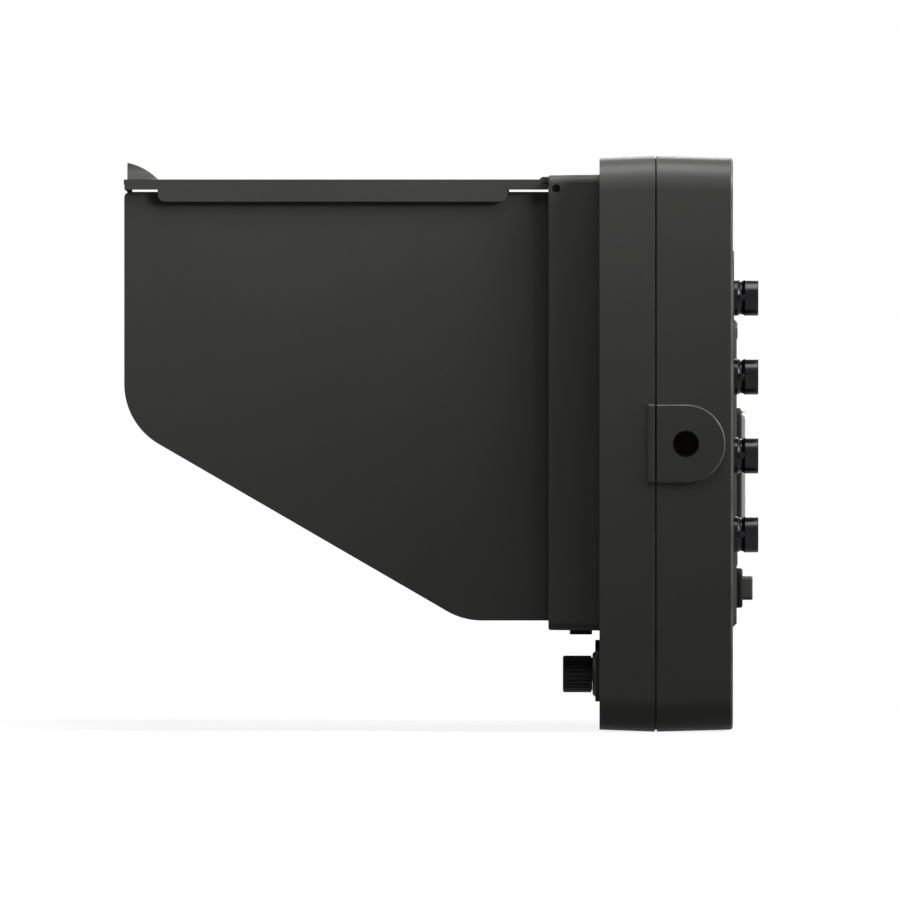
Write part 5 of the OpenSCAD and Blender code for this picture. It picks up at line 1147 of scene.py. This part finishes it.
def make_knob():
    radius = (KNOB_HIGH.z - KNOB_LOW.z) / 2
    knob = rod("control_knob_piece", "Y", KNOB_CENTRE, radius, KNOB_LOW.y, KNOB_HIGH.y, KNOB_RIBS * 8)

    def in_groove(vert):
        turned = math.atan2(vert.co.z - STRIP_MIDDLE, vert.co.x - KNOB_X) / (2 * math.pi / KNOB_RIBS)
        return abs(turned - round(turned)) > 0.3 and vert.co.y > KNOB_LOW.y - EPS

    with Editing(knob, "VERT") as mesh:
        pick(knob, mesh.verts, in_groove)
        share = (radius - 0.3 * MM) / radius
        bpy.ops.transform.resize(value=(share, 1, share), center_override=(KNOB_X, 0, STRIP_MIDDLE))
    face, over = KNOB_LOW.y, radius + 0.05 * MM
    crown = turn("crown", "Y", KNOB_CENTRE, [
        (0, face + 0.25 * MM), (radius - 1.5 * MM, face + 0.25 * MM), (radius - 1.2 * MM, face + 0.1 * MM),
        (radius - MM, face), (radius - 0.55 * MM, face), (radius - 0.2 * MM, face + 0.12 * MM),
        (over, face + 0.5 * MM), (over, KNOB_HIGH.y - 0.2 * MM), (radius - 0.15 * MM, KNOB_HIGH.y),
        (0, KNOB_HIGH.y)], 96)
    combine(knob, [crown], "INTERSECT")
    add(knob, rod("hub", "Y", KNOB_CENTRE, 4.4 * MM, KNOB_HIGH.y - 0.5 * MM, COLLAR_LOW.y - 0.04 * MM, 64))
    cut(knob, rod("shaft_bore", "Y", KNOB_CENTRE, 2.01 * MM, KNOB_LOW.y + 1.1 * MM, KNOB_HIGH.y + MM, 32))
    soften(knob, 0)
    finish(knob, "knob_plastic", "menu_knob", "control_knob")


def make_collar():
    foot, face = COLLAR_HIGH.y, COLLAR_LOW.y
    wide = (COLLAR_HIGH.z - COLLAR_LOW.z) / 2
    collar = turn("knob_collar_piece", "Y", KNOB_CENTRE, [
        (BUSHING_R, foot), (wide, foot), (wide - 0.1 * MM, foot - 0.2 * MM), (wide - 0.62 * MM, face + 0.06 * MM),
        (wide - 0.8 * MM, face), (BUSHING_R + 0.15 * MM, face), (BUSHING_R, face + 0.15 * MM), (BUSHING_R, foot)], 64)
    soften(collar, 0)
    finish(collar, "knob_plastic", "housing", "knob_collar")


# ---- Screen ----
BORDER_WIDE = 2.3 * MM


def make_glass():
    glass = low_box("screen_glass_piece", (GLASS_LOW.x, GLASS_LOW.z), (GLASS_HIGH.x, GLASS_HIGH.z),
                    GLASS_CORNER_R, 0, GLASS_LOW.y, GLASS_HIGH.y)
    round_rim(glass, "Y", GLASS_LOW.y, 0.15 * MM, 2)
    with Editing(glass, "FACE") as mesh:
        pick(glass, mesh.faces, lambda f: f.normal.y > 0.99)
        bpy.ops.mesh.inset(thickness=BORDER_WIDE)
    soften(glass, 0, wide_flat=True)
    finish(glass, "cover_glass", "housing", "screen_glass")
    glass.data.materials.append(FINISHES["printed_border"])
    for face in glass.data.polygons:
        if face.normal.y > 0.99 and face.area < WIDE_FACE:
            face.material_index = 1


# ---- Back of the case ----
def make_rear_panel():
    panel = low_box("rear_panel_piece", (PANEL_LOW.x, PANEL_LOW.z), (PANEL_HIGH.x, PANEL_HIGH.z),
                    3 * MM, 0, BACK_Y, PANEL_FACE)
    round_rim(panel, "Y", PANEL_FACE, MM, 1)
    cut_row(panel, back_openings(BACK_Y - MM, PANEL_FACE + MM)
            + rods_at("panel_screw_hole", "Y", PANEL_SCREWS, PLATE_SCREW_HOLE_R, BACK_Y - MM, PANEL_FACE + MM))
    soften(panel, 0.12 * MM)
    finish(panel, "back_panel_finish", "housing", "rear_panel")


def cross_recess(name, spot, width, start, end):
    """The cross in a screw head, tapered towards its floor."""
    half, arm = width / 2, 0.16 * width
    parts = [block(name, (spot[0] - half, start, spot[1] - arm), (spot[0] + half, end, spot[1] + arm)),
             block(name, (spot[0] - arm, start, spot[1] - half), (spot[0] + arm, end, spot[1] + half))]
    both = add(parts[0], parts[1])
    draw_in(both, "Y", start, (0.7, 1, 0.7), (spot[0], start, spot[1]))
    return both


def make_screws(name, places, head_r, shank_r, depths, node):
    """Cross-head screws: head and shank turned, the cross cut, then copied to the other places."""
    tip, foot, crown = depths
    dome = 0.25 * (crown - foot)
    first = turn(name, "Y", places[0], [
        (0, tip), (shank_r - 0.3 * MM, tip), (shank_r, tip + 0.4 * MM), (shank_r, foot), (head_r, foot),
        (head_r, crown - dome), (head_r - 0.3 * dome, crown - 0.35 * dome), (head_r - 1.2 * dome, crown),
        (0, crown)], 40)
    cut(first, cross_recess("cross", places[0], 1.15 * head_r, max(foot, crown - 0.9 * MM), crown + MM))
    made = [first] + [copy_of(first, name, (x - places[0][0], 0, z - places[0][1])) for x, z in places[1:]]
    screws = together(name, made)
    soften(screws, 0)
    finish(screws, "screw_steel", "housing", node)


JACK_END = JACK_HIGH.y
JACK_BACK = JACK_LOW.y
JACK_NECK = (BACK_Y + 1.3 * MM, BACK_Y + 3.2 * MM)
JACK_BORE_R = 4.05 * MM
JACK_FLOOR = JACK_BACK + 2.5 * MM


def jack_column(first, name):
    """One jack's part repeated at all the jacks, as one piece."""
    return together(name, row_of(first, name, (0, 0, JACK_STEP), JACK_COUNT))


def make_jack_bodies():
    """Turned bayonet jacks: flange, base, a smooth hollow neck with two lugs, and a thin open barrel."""
    z = JACK_HEIGHTS[0]
    neck = [(JACK_R - 0.4 * MM * math.sin(math.pi * i / 16),
             JACK_NECK[0] + (JACK_NECK[1] - JACK_NECK[0]) * i / 16) for i in range(17)]
    seat = JACK_BACK + 1.5 * MM
    jack = turn("jack_bodies_piece", "Y", (JACK_X, z), [
        (0, JACK_BACK), (JACK_FLANGE_R - 0.15 * MM, JACK_BACK), (JACK_FLANGE_R, JACK_BACK + 0.15 * MM),
        (JACK_FLANGE_R, seat), (JACK_R, seat), (JACK_R, JACK_NECK[0] - 0.12 * MM), *neck,
        (JACK_R, JACK_NECK[1] + 0.12 * MM), (JACK_R, JACK_END - 0.28 * MM), (JACK_R - 0.08 * MM, JACK_END - 0.08 * MM),
        (JACK_R - 0.28 * MM, JACK_END), (JACK_BORE_R + 0.2 * MM, JACK_END), (JACK_BORE_R, JACK_END - 0.2 * MM),
        (JACK_BORE_R, JACK_FLOOR), (0, JACK_FLOOR)], 72)
    lug_y = (JACK_NECK[0] + JACK_NECK[1]) / 2
    for side in (-1, 1):
        tip = JACK_X + side * (JACK_R + 0.35 * MM)
        lug = rod("lug", "X", (lug_y, z), 0.9 * MM, JACK_X + side * (JACK_R - MM), tip, 32)
        round_rim(lug, "X", tip, 0.15 * MM, 3)
        add(jack, lug)
    jacks = jack_column(jack, "jack_bodies_piece")
    soften(jacks, 0, smooth=38)
    finish(jacks, "jack_metal", "housing", "jack_bodies")


def make_jack_insides():
    end = JACK_END - MM
    white = turn("jack_insulators_piece", "Y", JACK_CENTRE, [
        (0.81 * MM, JACK_FLOOR), (4.04 * MM, JACK_FLOOR), (4.04 * MM, JACK_FLOOR + 1.1 * MM),
        (2.45 * MM, JACK_FLOOR + 1.1 * MM), (2.35 * MM, JACK_FLOOR + 1.3 * MM), (2.35 * MM, end - 0.2 * MM),
        (2.15 * MM, end), (1.1 * MM, end), (0.81 * MM, end - 0.25 * MM), (0.81 * MM, JACK_FLOOR)], 48)
    whites = jack_column(white, "jack_insulators_piece")
    soften(whites, 0)
    finish(whites, "insulator_white", "housing", "jack_insulators")
    tip = CONTACT_HIGH.y
    gold = turn("jack_contacts_piece", "Y", JACK_CENTRE, [
        (0, CONTACT_LOW.y), (0.8 * MM, CONTACT_LOW.y), (0.8 * MM, tip - 0.1 * MM), (0.7 * MM, tip), (0.5 * MM, tip),
        (0.45 * MM, tip - 0.1 * MM), (0.45 * MM, JACK_FLOOR + 1.1 * MM), (0, JACK_FLOOR + 1.1 * MM)], 28)
    cut(gold, block("split", (JACK_X - 0.1 * MM, tip - 2.4 * MM, JACK_HEIGHTS[0] - MM),
                    (JACK_X + 0.1 * MM, tip + MM, JACK_HEIGHTS[0] + MM)))
    golds = jack_column(gold, "jack_contacts_piece")
    soften(golds, 0)
    finish(golds, "contact_gold", "housing", "jack_contacts")


def make_sockets():
    back, mouth = VIDEO_LOW.y, VIDEO_HIGH.y
    floor = back + SOCKET_FLOOR
    z = VIDEO_HEIGHTS[0]
    shell = video_form("video_sockets_piece", z, 0, back, mouth)
    cut(shell, video_form("inside", z, -0.5 * MM, floor, mouth + MM))
    tongue = block("tongue", (VIDEO_LOW.x + 2 * MM, floor - 0.5 * MM, z - 0.5 * MM),
                   (VIDEO_HIGH.x - 2 * MM, mouth - 1.2 * MM, z + 0.5 * MM))
    spring = block("spring", (SOCKET_X - 4.2 * MM, mouth - 3.4 * MM, z + VIDEO_HALF_H - 0.55 * MM),
                   (SOCKET_X - 2.2 * MM, mouth - 0.8 * MM, z + VIDEO_HALF_H - 0.75 * MM))
    add(shell, tongue, spring, copy_of(spring, "spring", (6.4 * MM, 0, 0)))
    shells = together("video_sockets_piece", [
        shell, copy_of(shell, "video_socket", (0, 0, VIDEO_HEIGHTS[1] - VIDEO_HEIGHTS[0]))])
    soften(shells, 0.06 * MM)
    finish(shells, "socket_steel", "housing", "video_sockets")
    service = low_box("service_socket_piece", *SERVICE_CORNERS, 0.5 * MM, 0, SERVICE_LOW.y, SERVICE_HIGH.y)
    cut(service, low_box("inside", *SERVICE_CORNERS, 0.4 * MM, 0, SERVICE_LOW.y + SOCKET_FLOOR,
                         SERVICE_HIGH.y + MM, -0.5 * MM))
    add(service, block("tongue", (SOCKET_X - SERVICE_HALF_W + 2 * MM, SERVICE_LOW.y + 0.6 * MM, SERVICE_Z - 0.9 * MM),
                       (SOCKET_X + SERVICE_HALF_W - 2 * MM, SERVICE_HIGH.y - 1.2 * MM, SERVICE_Z + 0.9 * MM)))
    soften(service, 0.06 * MM)
    finish(service, "socket_steel", "housing", "service_socket")
    ear_back, ear_mouth = EARPHONE_LOW.y, EARPHONE_HIGH.y
    ear = turn("earphone_socket_piece", "Y", EARPHONE_CENTRE, [
        (0, ear_back), (EARPHONE_R, ear_back), (EARPHONE_R, ear_mouth - 0.25 * MM), (EARPHONE_R - 0.25 * MM, ear_mouth),
        (2.2 * MM, ear_mouth), (1.8 * MM, ear_mouth - 0.4 * MM), (1.8 * MM, ear_back + SOCKET_FLOOR),
        (0, ear_back + SOCKET_FLOOR)], 48)
    soften(ear, 0)
    finish(ear, "component_black", "housing", "earphone_socket")
    in_back, in_mouth = INLET_LOW.y, INLET_HIGH.y
    inlet = turn("power_inlet_piece", "Y", INLET_CENTRE, [
        (0, in_back), (INLET_R, in_back), (INLET_R, in_mouth - 0.3 * MM), (INLET_R - 0.3 * MM, in_mouth),
        (3.2 * MM, in_mouth), (2.9 * MM, in_mouth - 0.3 * MM), (2.9 * MM, in_back + SOCKET_FLOOR),
        (1.05 * MM, in_back + SOCKET_FLOOR), (1.05 * MM, PANEL_FACE - 0.5 * MM), (0.6 * MM, PANEL_FACE),
        (0, PANEL_FACE)], 56)
    soften(inlet, 0)
    finish(inlet, "jack_metal", "housing", "power_inlet")


def make_power_switch():
    bezel = low_box("power_bezel_piece", (BEZEL_LOW.x, BEZEL_LOW.z), (BEZEL_HIGH.x, BEZEL_HIGH.z),
                    2 * MM, 0.6 * MM, BEZEL_LOW.y, BEZEL_HIGH.y)
    cut(bezel, low_box("opening", *POWER_CORNERS, MM, 0, BEZEL_LOW.y - MM, BEZEL_HIGH.y + MM, GAP))
    soften(bezel, 0.08 * MM)
    finish(bezel, "bezel_plastic", "housing", "power_bezel")
    cap = low_box("power_button_piece", *POWER_CORNERS, MM, 0.4 * MM, CAP_LOW.y, CAP_HIGH.y)
    dish(cap, (0, 1, 0), 0.7 * MM, 0.15 * MM)
    add(cap, low_box("foot", *POWER_CORNERS, MM, 0, CAP_LOW.y, CAP_LOW.y + MM, MM))
    soften(cap, 0.08 * MM)
    finish(cap, "power_cap_plastic", "power_cap", "power_button")


BATTERY_Z = (BATTERY_LOW.z + BATTERY_HIGH.z) / 2
BLADE_STEP = 6 * MM
RELEASE_TRAVEL = 1.5 * MM


def make_battery_mount():
    plate = low_box("battery_plate_piece", (BATTERY_LOW.x, BATTERY_LOW.z), (BATTERY_HIGH.x, BATTERY_HIGH.z),
                    2 * MM, 0.4 * MM, BATTERY_LOW.y, BATTERY_HIGH.y)
    cut(plate, block("release_slot", (RELEASE_LOW.x - RELEASE_TRAVEL - GAP, BATTERY_LOW.y - MM, RELEASE_LOW.z - GAP),
                     (RELEASE_HIGH.x + GAP, BATTERY_HIGH.y + MM, RELEASE_HIGH.z + GAP)))
    soften(plate, 0.1 * MM)
    finish(plate, "battery_plastic", "housing", "battery_plate")
    lock = low_box("battery_lock_piece", (LOCK_LOW.x, LOCK_LOW.z), (LOCK_HIGH.x, LOCK_HIGH.z),
                   2 * MM, 0.15 * MM, LOCK_LOW.y, LOCK_HIGH.y)
    wide = LOCK_HIGH.x - LOCK_LOW.x
    slot_w, slot_h = 0.1167 * wide, 3.2 * MM
    tools = [block("blade_window", (BLADE_LOW.x - 0.3 * MM, LOCK_LOW.y - MM, BATTERY_Z - 9 * MM),
                   (BLADE_HIGH.x + 0.3 * MM, LOCK_HIGH.y + MM, BATTERY_Z + 9 * MM))]
    for share in (0.25, 0.6):
        for side in (-1, 1):
            x = LOCK_LOW.x + share * wide
            z = BATTERY_Z + side * ((BATTERY_HIGH.z - BATTERY_LOW.z) / 2 - 5.3 * MM)
            tools.append(block("lock_slot", (x - slot_w / 2, LOCK_LOW.y - MM, z - slot_h / 2),
                               (x + slot_w / 2, LOCK_HIGH.y + MM, z + slot_h / 2)))
    cut_row(lock, tools)
    soften(lock, 0.08 * MM)
    finish(lock, "lock_plate_metal", "housing", "battery_lock_plate")
    blade = block("battery_contacts_piece", (BLADE_LOW.x, BLADE_LOW.y, BATTERY_Z - 0.6 * MM),
                  (BLADE_HIGH.x, BLADE_HIGH.y, BATTERY_Z + 0.6 * MM))
    blades = together("battery_contacts_piece", [blade, copy_of(blade, "blade", (0, 0, BLADE_STEP)),
                                                 copy_of(blade, "blade", (0, 0, -BLADE_STEP))])
    soften(blades, 0.3 * MM, 3)
    finish(blades, "contact_gold", "housing", "battery_contacts")
    release = block("battery_release_piece", RELEASE_LOW, RELEASE_HIGH)
    groove = block("groove", (RELEASE_LOW.x - MM, RELEASE_HIGH.y - 0.3 * MM, RELEASE_LOW.z + 2 * MM),
                   (RELEASE_HIGH.x + MM, RELEASE_HIGH.y + MM, RELEASE_LOW.z + 2.6 * MM))
    cut_row(release, row_of(groove, "groove", (0, 0, RIDGE_STEP), 7))
    soften(release, 0.12 * MM)
    finish(release, "release_plastic", "release_slider", "battery_release")


def make_inserts():
    """Threaded inserts with their turns cut as rings inside."""
    def bored(opening, closed):
        """An insert's profile, its thread running from the opening towards the closed end."""
        away = 1 if opening > closed else -1
        depth = abs(opening - closed) - MM
        thread = []
        for i in range(int(depth / THREAD_STEP)):
            at = opening - away * i * THREAD_STEP
            thread += [(THREAD_R, at), (THREAD_ROOT_R, at - away * THREAD_STEP / 2)]
        end = opening - away * depth
        thread += [(THREAD_ROOT_R, end), (0, end)]
        return [(0, closed), (INSERT_R, closed), (INSERT_R, opening)] + thread

    insert = turn("side_inserts_piece", "X", PAD_CENTRE, bored(INSERT_HIGH.x, INSERT_HIGH.x - INSERT_DEEP), 48)
    both = together("side_inserts_piece", [insert, mirrored(insert, "insert_left")])
    soften(both, 0, smooth=30)
    finish(both, "insert_brass", "housing", "side_inserts")
    foot = turn("tripod_insert_piece", "Z", (0, PAD_Y), bored(TRIPOD_LOW.z, TRIPOD_HIGH.z), 48)
    soften(foot, 0, smooth=30)
    finish(foot, "insert_brass", "housing", "tripod_insert")


make_front_shell()
make_rear_shell()
make_hood_frame()
make_top_flap()
make_side_panel("side_panel_right_piece", 1, RIGHT_HINGE, "right_panel", "side_panel_right")
make_side_panel("side_panel_left_piece", -1, LEFT_HINGE, "left_panel", "side_panel_left")
make_flap_pins()
make_latch()
make_control_strip()
make_keys()
make_lens()
make_knob()
make_collar()
make_glass()
make_rear_panel()
make_screws("rear_panel_screws_piece", PANEL_SCREWS, PLATE_HEAD_R, PLATE_SHANK_R,
            (PLATE_SCREW_LOW.y, PANEL_FACE, PLATE_SCREW_HIGH.y), "rear_panel_screws")
make_screws("shell_screws_piece", SCREW_PLACES, SHELL_HEAD_R, SHELL_SHANK_R,
            (SCREW_LOW.y, SCREW_SEAT, SCREW_HIGH.y), "shell_screws")
make_jack_bodies()
make_jack_insides()
make_sockets()
make_power_switch()
make_battery_mount()
make_inserts()

# CAD solids whose shape is right keep it and get a finish.
CARRIED = {
    "gasket_rubber": ["seam_gasket"],
    "display_layers": ["display_panel"],
    "diffuser_plastic": ["backlight"],
    "bracket_metal": ["panel_bracket", "heat_sink"],
    "board_green": ["main_board", "io_board", "jack_board", "input_board"],
    "component_black": ["processor", "key_switches", "power_switch", "speaker"],
    "encoder_metal": ["encoder_body", "encoder_shaft"],
    "screw_steel": ["board_screws", "latch_plate", "panel_pins"],
}
for slot_name, carried in CARRIED.items():
    for node_name in carried:
        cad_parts[node_name].data.materials.clear()
        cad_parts[node_name].data.materials.append(FINISHES[slot_name])


# ---- Camera, light and floor ----
# The photograph looks along -X with a very long lens. The camera stands level with the gap under the
# flap and in line with the screen face, and turns to the middle of the picture, 239.2 mm wide at the side pad.
LENS_LENGTH, SENSOR_WIDE = 1700, 36
PICTURE_WIDE = 239.2 * MM
PICTURE_MIDDLE = Vector((PAD_FACE_X, 2.82 * MM, 74.99 * MM))
camera_data = bpy.data.cameras.new("camera")
camera_data.lens = LENS_LENGTH
camera_data.sensor_width = SENSOR_WIDE
camera_data.clip_end = 60
camera = bpy.data.objects.new("camera", camera_data)
camera.location = (PAD_FACE_X + PICTURE_WIDE * LENS_LENGTH / SENSOR_WIDE, FACE_Y, PIN_Z - 0.6 * MM)
camera.rotation_euler = (PICTURE_MIDDLE - camera.location).to_track_quat("-Z", "Y").to_euler()
bpy.context.scene.collection.objects.link(camera)
bpy.context.scene.camera = camera
bpy.context.scene.view_settings.view_transform = "Standard"


def mix_by_rays(tree, seen, unseen, result):
    """Joins what the camera and mirrors see with what only lights the object."""
    path = tree.nodes.new("ShaderNodeLightPath")
    shown = sum_of(tree, "MAXIMUM", path.outputs["Is Camera Ray"], path.outputs["Is Glossy Ray"])
    shown = sum_of(tree, "MAXIMUM", shown, path.outputs["Is Transmission Ray"])
    mixed = tree.nodes.new("ShaderNodeMixShader")
    tree.links.new(shown, mixed.inputs["Fac"])
    tree.links.new(unseen, mixed.inputs[1])
    tree.links.new(seen, mixed.inputs[2])
    tree.links.new(mixed.outputs[0], result)


ROOM_LIGHT = 0.08
FLOOR_WIDE = 8
FLOOR_Z = -0.2 * MM


def make_surroundings():
    world = bpy.data.worlds.new("pale_room")
    world.use_nodes = True
    tree = world.node_tree
    tree.nodes.clear()
    seen, unseen = (tree.nodes.new("ShaderNodeBackground") for _ in range(2))
    for room, strength in ((seen, 1.0), (unseen, ROOM_LIGHT)):
        room.inputs["Color"].default_value = (1, 1, 1, 1)
        room.inputs["Strength"].default_value = strength
    output = tree.nodes.new("ShaderNodeOutputWorld")
    mix_by_rays(tree, seen.outputs[0], unseen.outputs[0], output.inputs["Surface"])
    bpy.context.scene.world = world


def make_floor():
    bpy.ops.object.select_all(action="DESELECT")
    bpy.ops.mesh.primitive_plane_add(size=FLOOR_WIDE, location=(0, 0, FLOOR_Z))
    floor = settle("floor")
    paper = bpy.data.materials.new("pale_floor")
    paper.use_nodes = True
    tree = paper.node_tree
    tree.nodes.clear()
    plain = tree.nodes.new("ShaderNodeBsdfDiffuse")
    plain.inputs["Color"].default_value = (0.22, 0.22, 0.22, 1)
    glow = tree.nodes.new("ShaderNodeEmission")
    away = tree.nodes.new("ShaderNodeVectorMath")
    away.operation = "LENGTH"
    tree.links.new(place(tree), away.inputs[0])
    faded = spread(tree, away.outputs["Value"], 0.15, 0.8, 0.86, 1.0)
    faded.node.interpolation_type = "SMOOTHSTEP"
    tree.links.new(faded, glow.inputs["Strength"])
    both = tree.nodes.new("ShaderNodeAddShader")
    tree.links.new(plain.outputs[0], both.inputs[0])
    tree.links.new(glow.outputs[0], both.inputs[1])
    dim = tree.nodes.new("ShaderNodeBsdfDiffuse")
    dim.inputs["Color"].default_value = (0.1, 0.1, 0.1, 1)
    output = tree.nodes.new("ShaderNodeOutputMaterial")
    mix_by_rays(tree, both.outputs[0], dim.outputs[0], output.inputs["Surface"])
    floor.data.materials.append(paper)


def lamp(name, where, towards, size, power, spread=180):
    """A soft square lamp that looks at a place."""
    data = bpy.data.lights.new(name, "AREA")
    data.shape = "SQUARE"
    data.size = size
    data.energy = power
    data.spread = math.radians(spread)
    made = bpy.data.objects.new(name, data)
    made.location = where
    made.rotation_euler = (Vector(towards) - Vector(where)).to_track_quat("-Z", "Y").to_euler()
    made.visible_camera = False
    bpy.context.scene.collection.objects.link(made)


make_surroundings()
make_floor()
# The main soft light hangs over the right side, and a narrower one comes from behind and above it.
lamp("overhead", (0.20, 0.05, 0.60), (0.09, 0, 0.14), 0.3, 3.8)
lamp("right_side", (0.35, 0.40, 0.41), (0.1, -0.025, 0.245), 0.22, 0.44, 38)
lamp("back_side", (0.14, 0.60, 0.34), (0.08, 0.06, 0.12), 0.3, 0.7, 60)
lamp("left_side", (-0.60, 0, 0.42), (-0.1, 0, 0.2), 0.3, 0.24, 50)
lamp("front_side", (0, -0.60, 0.42), (0, -0.05, 0.2), 0.3, 0.24, 50)
